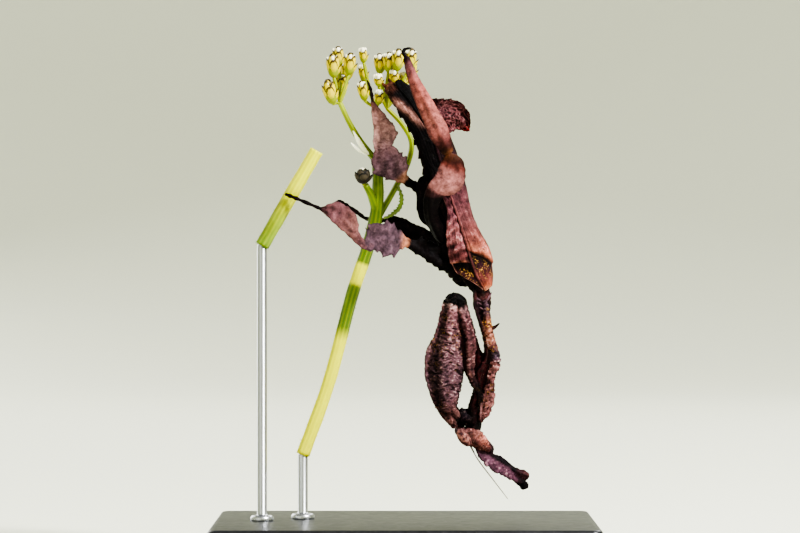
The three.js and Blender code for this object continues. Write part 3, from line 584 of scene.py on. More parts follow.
@dataclass(frozen=True)
class Tegmen(Finish):
    """Forewing leather: a tough veined membrane, with painted shade between its ribs and folds and painted
    highlights on them.
    """

    mottle: float = 1.0  # mm
    crimp: float = 0.24  # mm, creases that run along and across the wing
    grain: float = 0.1  # mm
    fleck: float = 0.14  # mm
    patch: float = 0.6  # mm, clusters of flecks
    stain: str = "#b09ea4"
    gold: str = "#a47836"
    # painted highlight: the pale colour mixed onto raised ribs
    pale: str = "#d8a8a4"
    roughness: float = 0.54

    def build(self) -> bpy.types.Material:
        """Makes the material, which reads the wing's tint, vein and gold attributes.

        Returns:
            The material.
        """
        material, tree, at = self.start()
        tint = add(tree, "ShaderNodeAttribute", attribute_name="tint")
        vein, gold = (
            add(tree, "ShaderNodeAttribute", attribute_name=name).outputs["Fac"] for name in ("vein", "gold")
        )
        blotch = add(tree, "ShaderNodeTexNoise", {
            "Vector": at, "Scale": per_mm(self.mottle), "Detail": 6.0, "Roughness": 0.6
        })
        pits = add(tree, "ShaderNodeTexNoise", {"Vector": at, "Scale": per_mm(self.grain), "Detail": 3.0})
        crimps = add(tree, "ShaderNodeTexNoise", {
            "Vector": at, "Scale": per_mm(self.crimp), "Detail": 4.0, "Roughness": 0.6, "Distortion": 1.2
        })
        stained = add(
            tree, "ShaderNodeMix", {0: 1.0, 6: tint, 7: linear(self.stain)}, data_type="RGBA", blend_type="MULTIPLY"
        )
        shade = add(tree, "ShaderNodeValToRGB", {"Fac": blotch}, ramp=[(0.3, 0.34), (0.5, 0.95), (0.7, 1.7)])
        mottled = add(
            tree, "ShaderNodeMix", {0: 1.0, 6: stained, 7: shade}, data_type="RGBA", blend_type="MULTIPLY"
        )
        # painted shade and light: darker between ribs and folds, lighter on them
        ribbed = add(tree, "ShaderNodeMapRange", {0: vein, 1: -0.9, 2: 0.9, 3: 0.22, 4: 1.75})
        fine = add(tree, "ShaderNodeMapRange", {0: crimps, 1: 0.32, 2: 0.62, 3: 0.5, 4: 1.2})
        depth = add(tree, "ShaderNodeMath", {0: ribbed, 1: fine}, operation="MULTIPLY")
        veined = add(tree, "ShaderNodeMix", {0: 1.0, 6: mottled, 7: depth}, data_type="RGBA", blend_type="MULTIPLY")
        # painted highlights: pale colour on raised ribs, fainter on dark tints
        high = add(tree, "ShaderNodeMapRange", {0: vein, 1: 0.3, 2: 1.0, 3: 0.0, 4: 0.6})
        edge = add(tree, "ShaderNodeMapRange", {0: crimps, 1: 0.48, 2: 0.62, 3: 0.0, 4: 1.0})
        bright = add(tree, "ShaderNodeRGBToBW", {0: stained})
        scarce = add(tree, "ShaderNodeMapRange", {0: bright, 1: 0.01, 2: 0.08})
        ridge_glint = add(tree, "ShaderNodeMath", {0: high, 1: edge}, operation="MULTIPLY")
        crest_highlight = add(tree, "ShaderNodeMath", {0: ridge_glint, 1: scarce}, operation="MULTIPLY")
        highlighted = add(tree, "ShaderNodeMix", {0: crest_highlight, 6: veined, 7: linear(self.pale)}, data_type="RGBA")
        spots = add(tree, "ShaderNodeTexNoise", {
            "Vector": at, "Scale": per_mm(self.fleck), "Detail": 1.0, "Distortion": 0.3
        })
        small = add(tree, "ShaderNodeMapRange", {0: spots, 1: 0.58, 2: 0.63})
        clusters = add(tree, "ShaderNodeTexNoise", {"Vector": at, "Scale": per_mm(self.patch)})
        here = add(tree, "ShaderNodeMapRange", {0: clusters, 1: 0.42, 2: 0.52})
        grouped = add(tree, "ShaderNodeMath", {0: small, 1: here}, operation="MULTIPLY")
        flecked = add(tree, "ShaderNodeMath", {0: grouped, 1: gold}, operation="MULTIPLY")
        colour = add(tree, "ShaderNodeMix", {0: flecked, 6: highlighted, 7: linear(self.gold)}, data_type="RGBA")
        rough = add(tree, "ShaderNodeMapRange", {
            0: pits, 1: 0.3, 2: 0.7, 3: self.roughness - 0.13, 4: self.roughness + 0.16
        })
        coarse = add(tree, "ShaderNodeMath", {0: crimps, 1: 1.5, 2: blotch}, operation="MULTIPLY_ADD")
        relief = add(tree, "ShaderNodeMath", {0: pits, 1: 0.4, 2: coarse}, operation="MULTIPLY_ADD")
        bump = add(tree, "ShaderNodeBump", {"Height": relief, "Strength": 0.75, "Distance": 0.06 * MM})
        self.end(tree, {"Base Color": colour, "Roughness": rough, "Normal": bump, "Specular IOR Level": 0.035})
        return material


@dataclass(frozen=True)
class CompoundEye(Finish):
    """Compound eye: a matt oval of minute facets, mottled like the head around it."""

    facet: float = 0.11  # mm, drawn coarser than the real 0.03 mm so that it shows
    band: float = 0.35  # mm
    light: str = "#6e443e"
    dark: str = "#2e181a"
    glint: str = "#9c6c62"
    roughness: float = 0.6

    def build(self) -> bpy.types.Material:
        """Makes the material.

        Returns:
            The material.
        """
        material, tree, at = self.start()
        facets = add(
            tree, "ShaderNodeTexVoronoi", {"Vector": at, "Scale": per_mm(self.facet)}, feature="DISTANCE_TO_EDGE"
        )
        bands = add(tree, "ShaderNodeTexNoise", {"Vector": at, "Scale": per_mm(self.band), "Detail": 4.0})
        colour = add(tree, "ShaderNodeValToRGB", {"Fac": bands}, ramp=[
            (0.4, self.dark), (0.54, self.light), (0.68, self.glint)
        ])
        bump = add(tree, "ShaderNodeBump", {"Height": facets, "Strength": 0.35, "Distance": 0.02 * MM})
        self.end(tree, {
            "Base Color": colour, "Roughness": self.roughness, "Normal": bump, "Specular IOR Level": 0.06,
        })
        return material


@dataclass(frozen=True)
class Horn(Finish):
    """Bare chitin of feelers, spines and claws: translucent at the tips, with dark rings."""

    light: str = "#8a7a42"
    dark: str = "#2a1a14"
    ring: float = 0.5  # mm
    roughness: float = 0.38

    def build(self) -> bpy.types.Material:
        """Makes the material.

        Returns:
            The material.
        """
        material, tree, at = self.start()
        rings = add(tree, "ShaderNodeTexNoise", {"Vector": at, "Scale": per_mm(self.ring), "Detail": 2.0})
        colour = add(tree, "ShaderNodeValToRGB", {"Fac": rings}, ramp=[(0.38, self.dark), (0.62, self.light)])
        bump = add(tree, "ShaderNodeBump", {"Height": rings, "Strength": 0.3, "Distance": 0.02 * MM})
        self.end(tree, {"Base Color": colour, "Roughness": self.roughness, "Normal": bump})
        return material


@dataclass(frozen=True)
class Stalk(Finish):
    """Yarrow stem: fresh ribbed green stalk, downy, paler yellow-green where bleached, where a highlight is
    painted, and along its lit ribs.
    """

    blotch: float = 3.5  # mm, patches of yellow
    fibre: float = 0.12  # mm, the stalk's strands
    green: str = "#3a5a08"
    pale: str = "#c8c604"
    deep: str = "#284a08"
    roughness: float = 0.5

    def build(self) -> bpy.types.Material:
        """Makes the material, which reads the stalk's rib and bleach attributes.

        Returns:
            The material.
        """
        material, tree, at = self.start()
        rib, bleach_and_highlight = (
            add(tree, "ShaderNodeAttribute", attribute_name=name).outputs["Fac"] for name in ("rib", "bleach_and_highlight")
        )
        patches = add(tree, "ShaderNodeTexNoise", {"Vector": at, "Scale": per_mm(self.blotch), "Detail": 5.0})
        strands = add(tree, "ShaderNodeTexNoise", {"Vector": at, "Scale": per_mm(self.fibre), "Detail": 2.0})
        green = add(tree, "ShaderNodeValToRGB", {"Fac": patches}, ramp=[
            (0.3, self.deep), (0.55, self.green), (0.75, "#6e8e1e")
        ])
        lit = add(tree, "ShaderNodeMapRange", {0: rib, 1: -1.0, 2: 1.0, 3: 0.0, 4: 0.18})
        both = add(tree, "ShaderNodeMath", {0: lit, 1: bleach_and_highlight}, operation="ADD", use_clamp=True)
        colour = add(tree, "ShaderNodeMix", {0: both, 6: green, 7: linear(self.pale)}, data_type="RGBA")
        bump = add(tree, "ShaderNodeBump", {"Height": strands, "Strength": 0.4, "Distance": 0.04 * MM})
        self.end(tree, {
            "Base Color": colour, "Roughness": self.roughness, "Normal": bump, "Specular IOR Level": 0.2,
            "Subsurface Weight": 0.15, "Subsurface Radius": (0.4 * MM, 0.6 * MM, 0.2 * MM), "Subsurface Scale": 1.0,
        })
        return material


@dataclass(frozen=True)
class Bract(Finish):
    """Yarrow bract: a papery green scale with a pale border and a thin dark brown edge."""

    green: str = "#7c840c"
    border: str = "#c6b21a"
    edge: str = "#352810"
    vein: float = 0.2  # mm
    roughness: float = 0.55

    def build(self) -> bpy.types.Material:
        """Makes the material, which reads the bract's rim attribute.

        Returns:
            The material.
        """
        material, tree, at = self.start()
        rim = add(tree, "ShaderNodeAttribute", attribute_name="rim").outputs["Fac"]
        lines = add(tree, "ShaderNodeTexNoise", {"Vector": at, "Scale": per_mm(self.vein), "Detail": 3.0})
        ragged = add(tree, "ShaderNodeMath", {0: lines, 1: 0.15, 2: rim}, operation="MULTIPLY_ADD")
        colour = add(tree, "ShaderNodeValToRGB", {"Fac": ragged}, ramp=[
            (0.3, self.green), (0.62, self.border), (0.9, self.border), (0.99, self.edge)
        ])
        bump = add(tree, "ShaderNodeBump", {"Height": lines, "Strength": 0.4, "Distance": 0.03 * MM})
        self.end(tree, {
            "Base Color": colour, "Roughness": self.roughness, "Normal": bump, "Specular IOR Level": 0.15,
        })
        return material


@dataclass(frozen=True)
class Petal(Finish):
    """Closed floret tips: soft, cream-white petals that are just opening."""

    cream: str = "#efe8b4"
    white: str = "#fbf8e6"
    fold: float = 0.25  # mm
    roughness: float = 0.6

    def build(self) -> bpy.types.Material:
        """Makes the material.

        Returns:
            The material.
        """
        material, tree, at = self.start()
        folds = add(tree, "ShaderNodeTexNoise", {"Vector": at, "Scale": per_mm(self.fold), "Detail": 3.0})
        colour = add(tree, "ShaderNodeValToRGB", {"Fac": folds}, ramp=[(0.4, self.cream), (0.62, self.white)])
        bump = add(tree, "ShaderNodeBump", {"Height": folds, "Strength": 0.5, "Distance": 0.05 * MM})
        self.end(tree, {
            "Base Color": colour, "Roughness": self.roughness, "Normal": bump, "Subsurface Weight": 0.2,
            "Subsurface Radius": (0.5 * MM, 0.5 * MM, 0.3 * MM), "Subsurface Scale": 1.0,
        })
        return material


@dataclass(frozen=True)
class Acrylic(Finish):
    """Cast black acrylic, satin polished: even, with faint swirls from the polishing cloth."""

    tone: str = "#111114"
    swirl: float = 1.6  # mm
    roughness: float = 0.32

    def build(self) -> bpy.types.Material:
        """Makes the material.

        Returns:
            The material.
        """
        material, tree, at = self.start()
        swirls = add(tree, "ShaderNodeTexNoise", {
            "Vector": at, "Scale": per_mm(self.swirl), "Detail": 8.0, "Distortion": 1.5
        })
        colour = add(tree, "ShaderNodeValToRGB", {"Fac": swirls}, ramp=[(0.3, self.tone), (0.8, "#1b1b1f")])
        rough = add(tree, "ShaderNodeMapRange", {0: swirls, 3: self.roughness - 0.08, 4: self.roughness + 0.12})
        bump = add(tree, "ShaderNodeBump", {"Height": swirls, "Strength": 0.06, "Distance": 0.02 * MM})
        self.end(tree, {"Base Color": colour, "Roughness": rough, "Normal": bump, "Specular IOR Level": 0.3})
        return material


@dataclass(frozen=True)
class Steel(Finish):
    """Stainless steel wire, drawn: bright, with fine lines along its length."""

    tone: str = "#b4b6ba"
    line: float = 0.08  # mm
    roughness: float = 0.28

    def build(self) -> bpy.types.Material:
        """Makes the material.

        Returns:
            The material.
        """
        material, tree, at = self.start()
        drawn = add(tree, "ShaderNodeMapping", {"Vector": at, "Scale": (1.0, 1.0, 0.02)})
        lines = add(tree, "ShaderNodeTexNoise", {"Vector": drawn, "Scale": per_mm(self.line), "Detail": 2.0})
        rough = add(tree, "ShaderNodeMapRange", {0: lines, 3: self.roughness - 0.08, 4: self.roughness + 0.1})
        bump = add(tree, "ShaderNodeBump", {"Height": lines, "Strength": 0.15, "Distance": 0.01 * MM})
        self.end(tree, {"Base Color": linear(self.tone), "Metallic": 1.0, "Roughness": rough, "Normal": bump})
        return material


@dataclass(frozen=True)
class Paper(Finish):
    """Seamless studio paper: pale, matt, with a barely visible tooth."""

    tone: str = "#e3e5d2"
    tooth: float = 1.0  # mm

    def build(self) -> bpy.types.Material:
        """Makes the material.

        Returns:
            The material.
        """
        material, tree, at = self.start()
        tooth = add(tree, "ShaderNodeTexNoise", {"Vector": at, "Scale": per_mm(self.tooth), "Detail": 2.0})
        bump = add(tree, "ShaderNodeBump", {"Height": tooth, "Strength": 0.05, "Distance": 0.05 * MM})
        self.end(tree, {"Base Color": linear(self.tone), "Roughness": 0.9, "Normal": bump})
        return material


class Dress(Enum):
    """The finishes by the name of what they cover."""

    CUTICLE = Cuticle("dry_leaf_cuticle")
    TEGMEN = Tegmen("forewing_leather")
    EYE = CompoundEye("compound_eye")
    FEELER = Horn("feeler_chitin", light="#4a3e24", dark="#1c1410")
    SPINE = Horn("spine_chitin", light="#7a4a3a", dark="#140c0e")
    STALK = Stalk("yarrow_stalk")
    LEAF = Stalk("yarrow_leaf", green="#4c661c", deep="#26380f", pale="#c8cc78", fibre=0.2)
    SCALE_LEAF = Stalk("bleached_scale_leaf", green="#9ca45c", deep="#7c8a3c", pale="#f4f2d6", fibre=0.2)
    BRACT = Bract("yarrow_bract")
    DARK_BRACT = Bract("young_yarrow_bract", green="#1c1610", border="#3a3226", edge="#0c0a08")
    PETAL = Petal("yarrow_floret")
    ACRYLIC = Acrylic("satin_black_acrylic")
    STEEL = Steel("drawn_stainless_steel")
    PAPER = Paper("studio_paper")

    def material(self) -> bpy.types.Material:
        """The finish's material, made the first time it is asked for."""
        return bpy.data.materials.get(self.value.name) or self.value.build()


def dress(obj: bpy.types.Object, finish: Dress) -> bpy.types.Object:
    """Gives an object one finish.

    Args:
        obj: The object.
        finish: Its finish.

    Returns:
        The object.
    """
    obj.data.materials.clear()
    obj.data.materials.append(finish.material())
    return obj


def keep(obj: bpy.types.Object, slot: str, *nodes: str) -> bpy.types.Object:
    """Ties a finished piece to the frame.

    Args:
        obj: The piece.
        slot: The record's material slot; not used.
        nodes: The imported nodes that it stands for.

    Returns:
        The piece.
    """
    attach(obj, "root")
    if nodes:
        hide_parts(*nodes)
    obj.data.calc_loop_triangles()
    log.info("%s: %d triangles, for %d nodes", obj.name, len(obj.data.loop_triangles), len(nodes))
    return obj


# ---- The skin: leafy limbs grown together ---------------------------------------------------


@dataclass
class Surface:
    """Points of one closed form with what each point carries into the skin."""

    points: Array
    faces: list[tuple[int, ...]]
    data: dict[str, Array]


@dataclass
class Limb:
    """A leafy limb: a round shaft with a thin blade out to either side."""

    # x, y, z, reach to the side's plus, reach to its minus, shaft radius; what repeats is left out
    rows: Sequence[Row]
    side: Row = ACROSS
    tones: Sequence[Any] = ("#5a3c40",)  # colours from root to tip
    shade: tuple[float, ...] = ()  # painted light and shade: brightness from the minus edge to the plus edge
    profile: tuple[float, ...] = ()  # mm that the section stands out from the minus edge to the plus edge
    face: Row = (0.0, -1.0, 0.0)  # where the profile's plus offsets point
    rim: float = 0.45  # brightness of the blade's very edge
    blade: float = 0.19  # mm, half thickness
    teeth: float = 0.0  # share of the reach cut by teeth
    tooth_pitch: float = 1.0  # mm
    ripple: float = 0.0  # mm, waves of the whole blade
    ripple_pitch: float = 2.2  # mm
    wrinkle: float = 0.06  # mm, height of the surface folds
    wrinkle_pitch: float = 0.5  # mm
    veined: float = 0.3
    gold: tuple[float, ...] = (0.0,)  # golden scales from root to tip
    segments: int = 0  # joints that swell along it
    ring_step: float = 0.18  # mm
    sides: int = 60

    def surface(self, number: int) -> Surface:
        """Makes the limb's closed surface.

        Args:
            number: Tells this limb from the others.

        Returns:
            The surface and its data.
        """
        rough = spline(self.rows, np.linspace(0, 1, 200))
        length = float(np.linalg.norm(np.diff(rough, axis=0), axis=1).sum())
        count = max(10, int(length / self.ring_step))
        u = np.linspace(0, 1, count)
        centre, _, wide, deep = frames(self.rows, self.side, u)
        table = along([(row[3], row[max(3, len(row) - 2)], row[-1]) for row in self.rows], u)
        s = np.concatenate([[0], np.cumsum(np.linalg.norm(np.diff(centre, axis=0), axis=1))])
        turn = 2 * np.pi * np.arange(self.sides) / self.sides
        c, face = np.cos(turn)[None, :], np.sign(np.round(np.sin(turn), 9))[None, :]
        thin = np.abs(np.sin(turn))[None, :] ** 0.6

        reach = np.where(c >= 0, table[:, 0:1], table[:, 1:2])
        shaft = table[:, 2:3]
        if self.segments:
            swell = 1 + 0.22 * np.cos(2 * np.pi * self.segments * u[:, None])
            reach, shaft = reach * swell, shaft * swell
        if self.teeth:
            hand = np.where(c >= 0, 0.0, 0.43)
            wander = NOISE(np.stack([s * 0.9, np.full(count, number), np.zeros(count)], 1))[:, None]
            tooth = (s[:, None] / self.tooth_pitch + hand + 0.8 * wander) % 1.0
            reach = reach * (1 + self.teeth * (1.6 * tooth**1.5 - 0.7) * (np.abs(c) > 0.6) * (1 + 1.5 * wander))
        reach = np.maximum(reach, shaft)
        w = reach * c
        round_part = shaft * np.sqrt(np.maximum(0, 1 - (w / shaft) ** 2))
        blade = np.minimum(self.blade, shaft * 0.9) * thin
        h = (round_part**4 + blade**4) ** 0.25
        phase = 2 * np.pi * s[:, None] / self.ripple_pitch + 2.1 * np.sign(c) + number
        wave = self.ripple * np.abs(c) * np.sin(phase)
        d = face * h + wave
        if self.profile:
            toward = np.sign((deep @ np.array(self.face)).mean())
            d = d + toward * along(self.profile, (c[0] + 1) / 2)[None, :] * np.minimum(1, reach / 0.8)
        ends = np.ones((count, 1))
        for end in (s, s[-1] - s):
            near = np.clip(end / np.maximum(shaft[:, 0], 0.15), 0.05, 1)
            ends[:, 0] *= np.sqrt(1 - (1 - near) ** 2)
        points = centre[:, None] + (w * ends)[..., None] * wide[:, None] + (d * ends)[..., None] * deep[:, None]

        shape = (count, self.sides)
        tint = np.repeat(ramp(self.tones, u)[:, None], self.sides, 1)
        flat = smooth_step(1.0, 1.6, reach / shaft) * np.ones(shape)
        dim = 1 - (1 - self.rim) * flat * smooth_step(0.86, 1.0, np.abs(c))
        # painted light and shade across the section
        if self.shade:
            dim = dim * along(self.shade, (c[0] + 1) / 2)[None, :]
        tint = tint * dim[..., None]
        data = {
            "number": np.full(shape, float(number)), "s": np.repeat(s[:, None], self.sides, 1),
            "t": w * np.ones(shape), "wrinkle": np.full(shape, self.wrinkle),
            "pitch": np.full(shape, self.wrinkle_pitch), "veined": self.veined * flat,
            "gold": np.repeat(levels(self.gold, u)[:, None], self.sides, 1), "red": tint[..., 0],
            "green": tint[..., 1], "blue": tint[..., 2],
        }
        flat_points = points.reshape(-1, 3)
        return Surface(flat_points, ring_faces(count, self.sides), {k: v.ravel() for k, v in data.items()})


@dataclass
class Skin:
    """One skin over many limbs, remeshed so that no seam shows and then folded."""

    voxel: float = 0.088  # mm
    smoothing: int = 3
    faces_kept: int = 190_000
    limbs: list[Limb] = field(default_factory=list)

    def grow(self, name: str) -> bpy.types.Object:
        """Joins the limbs, folds the skin and colours it.

        Args:
            name: The piece's name.

        Returns:
            The skin, in metres.
        """
        forms = [limb.surface(i) for i, limb in enumerate(self.limbs)]
        source, faces = joined((f.points, f.faces) for f in forms)
        data = {key: np.concatenate([f.data[key] for f in forms]) for key in forms[0].data}
        rough = link(mesh_of(source, faces), "rough")
        remesh = rough.modifiers.new("remesh", "REMESH")
        remesh.mode, remesh.voxel_size, remesh.use_smooth_shade = "VOXEL", self.voxel, True
        soften = rough.modifiers.new("soften", "SMOOTH")
        soften.factor, soften.iterations = 0.5, self.smoothing
        full = evaluated(rough, "full")
        points, normals = vertices_of(full.data), vertices_of(full.data, normals=True)
        carried = self.carry(source, data, points)
        fold = self.folds(points, carried)
        lifted = points + normals * (carried["wrinkle"] * fold)[:, None]
        full.data.vertices.foreach_set("co", lifted.ravel())
        full.data.update()
        full.data.calc_loop_triangles()
        thin = full.modifiers.new("thin", "DECIMATE")
        thin.ratio = min(1.0, self.faces_kept / len(full.data.loop_triangles))
        skin = evaluated(full, name)
        self.colour(skin.data, lifted, {**carried, "fold": fold})
        return skin

    @staticmethod
    def carry(source: Array, data: dict[str, Array], points: Array, count: int = 4) -> dict[str, Array]:
        """Brings one form's data to the nearest points of another.

        Args:
            source: Where the data is.
            data: What the source points carry.
            points: Where it goes.
            count: How many source points each one reads.

        Returns:
            What the points carry.
        """
        tree = KDTree(len(source))
        for i, place in enumerate(source):
            tree.insert(place, i)
        tree.balance()
        found = [tree.find_n(place, count) for place in points]
        near = np.array([[f[1] for f in row] for row in found])
        away = np.array([[f[2] for f in row] for row in found])
        weight = 1 / (away + 0.02) ** 2
        own = data["number"][near] == data["number"][near[:, :1]]
        carried = {}
        for key, values in data.items():
            w = weight * own if key in ("s", "t", "number") else weight
            carried[key] = (values[near] * w).sum(1) / w.sum(1)
        return carried

    @staticmethod
    def folds(points: Array, carried: dict[str, Array]) -> Array:
        """How far each point stands on a fold, from -1 to 1.

        Args:
            points: The skin's points, in mm.
            carried: What they carry.

        Returns:
            One value a point.
        """
        s, t, pitch = carried["s"], carried["t"], carried["pitch"]
        number = carried["number"] * 5.37
        warp = NOISE(np.stack([s / 1.5, t / 1.5, number], 1))
        across = NOISE.layered(np.stack([s / pitch + 2.4 * warp, t / (pitch * 1.8) + 0.8 * warp, number], 1), 2)
        ridges = 1 - np.abs(across) * 4.2
        lumps = NOISE.layered(points / 1.3, 3)
        return np.clip(0.9 * ridges + 0.55 * lumps, -1, 1)

    @classmethod
    def colour(cls, mesh: bpy.types.Mesh, source: Array, data: dict[str, Array]) -> None:
        """Stores what the skin's finish reads and turns it to metres.

        Args:
            mesh: The finished skin, in mm.
            source: Points before the faces were thinned.
            data: What they carry.
        """
        points = vertices_of(mesh)
        had = cls.carry(source, data, points, 2)
        # fold and crease drive the finish's painted shade in fold valleys and painted highlights on crests
        store(mesh, "fold", had["fold"])
        store(mesh, "gold", had["gold"] * smooth_step(-0.15, 0.2, NOISE(points / 0.9 + 9.0)))
        store(mesh, "veined", had["veined"])
        store(mesh, "crease", np.clip(had["wrinkle"] / 0.1, 0.15, 1.0))
        store(mesh, "limb", np.stack([had["s"], had["t"], had["number"] * 9.0], 1) * MM)
        store(mesh, "tint", np.stack([had["red"], had["green"], had["blue"], np.ones(len(points))], 1))
        mesh.vertices.foreach_set("co", (points * MM).ravel())
        mesh.update()


# ---- Trunk and forewings --------------------------------------------------------------------


@dataclass
class Trunk:
    """Thorax and abdomen: an oval body whose rings step down toward its tip."""

    rows: tuple[Row, ...] = (  # x, y, z, half breadth, half depth
        (8.35, 0, 29.9, 0.75, 0.7),
        (7.75, 0, 31.4, 1.2, 1.1),
        (6.9, 0, 33.8, 1.7, 1.45),
        (5.75, 0, 36.7, 1.35, 1.4),
        (4.65, 0, 39.2, 1.3, 1.25),
        (4.0, 0, 41.5, 1.5, 1.15),
        (3.45, 0, 44.0, 1.6, 1.1),
        (2.75, 0, 46.4, 1.55, 1.05),
        (1.7, 0, 48.5, 1.45, 0.95),
        (0.1, 0, 50.6, 1.2, 0.8),
        (-1.9, 0.2, 53.0, 0.8, 0.5),
    )
    left: Row = (0.906, 0.423, 0.0)
    belly_shift: Row = (-0.08, 0.17, 0.0)
    plates: int = 9  # belly plates, each with a dark hind edge
    lobes: int = 7
    lobe_first: float = 0.43  # share of the length
    lobe_pitch: float = 0.075
    # the flank fills out the body's near side; it is painted nearly black as shade
    flank: tuple[Row, ...] = (
        (6.4, -0.3, 32.6, 0.8, 0.7), (5.5, -0.35, 34.6, 0.95, 1.1, 0.75), (4.7, -0.4, 36.2, 0.9, 1.4, 0.75),
        (4.2, -0.4, 37.7, 0.9, 1.6, 0.75), (3.6, -0.4, 39.0, 0.9, 2.2, 0.7), (3.1, -0.35, 40.8, 0.8, 1.95, 0.65),
        (2.6, -0.3, 43.2, 0.7, 1.3, 0.55),
    )

    def half_breadth(self, u: Array) -> Array:
        """Half breadth in mm at shares of the length."""
        return along([r[3] for r in self.rows], u)

    def half_depth(self, u: Array) -> Array:
        """Half depth in mm at shares of the length."""
        return along([r[4] for r in self.rows], u)

    def belly(self) -> Limb:
        """The paler plates of the underside.

        Returns:
            One limb over all of them.
        """
        dx, dy, _ = self.belly_shift
        rows = [(r[0] + dx, r[1] + dy, r[2], 0.8 * r[3], 0.8 * r[3], r[4]) for r in self.rows[1:-1]]
        tones = []
        for k in range(self.plates):
            tones += [((k + 0.05) / self.plates, "#6a4638"), ((k + 0.75) / self.plates, "#543630")]
            tones += [((k + 0.9) / self.plates, "#1c1010")]
        return Limb(rows, self.left, tuple(tones), blade=0.5, wrinkle=0.06, wrinkle_pitch=0.5)

    def limbs(self) -> list[Limb]:
        """The body with its flank, its leafy side lobes and its two end feelers.

        Returns:
            The forms that the skin grows over.
        """
        rows = [(*r[:3], r[3], r[3], r[4]) for r in self.rows]
        found = [
            # the body is painted nearly black as shade, except its own orange-brown tip
            Limb(
                rows, self.left, ("#1e0e10", "#120a0b", "#0c0607", "#0a0506", "#0a0506", "#0e0708", "#7a5038"),
                blade=0.5, wrinkle=0.08, wrinkle_pitch=0.9,
            ),
            # the flank, painted nearly black as shade
            Limb(self.flank, ACROSS, ("#0c0607", "#0a0506", "#100809"), wrinkle=0.06, wrinkle_pitch=0.8),
            self.belly(),
        ]
        for i in range(self.lobes):
            u = np.array([self.lobe_first + self.lobe_pitch * i])
            centre, ahead, wide, _ = frames(self.rows, self.left, u)
            half = float(self.half_breadth(u)[0])
            for hand in (-1, 1):
                root = centre[0] + hand * (half - 0.5) * wide[0]
                tip = centre[0] + hand * half * wide[0] + 0.7 * ahead[0]
                mid = (root + tip) / 2 + 0.08 * ahead[0]
                # the side lobes are painted dark as shade, like the body
                found.append(Limb(
                    [(*root, 0.9, 0.9, 0.3), (*mid, 0.7, 0.75, 0.26), (*tip, 0.2, 0.2, 0.15)], tuple(ahead[0]),
                    ("#160c0e", "#2a1716"), wrinkle=0.03,
                ))
        tip, ahead, wide, _ = frames(self.rows, self.left, np.array([1.0]))
        for hand in (-1, 1):
            root = tip[0] + hand * 0.35 * wide[0] - 0.5 * ahead[0]
            end = tip[0] + hand * 0.55 * wide[0] + 0.5 * ahead[0]
            found.append(Limb(
                [(*root, 0.22, 0.22, 0.22), (*end, 0.14, 0.14, 0.14)], self.left, ("#6a4028",), wrinkle=0.0
            ))
        return found


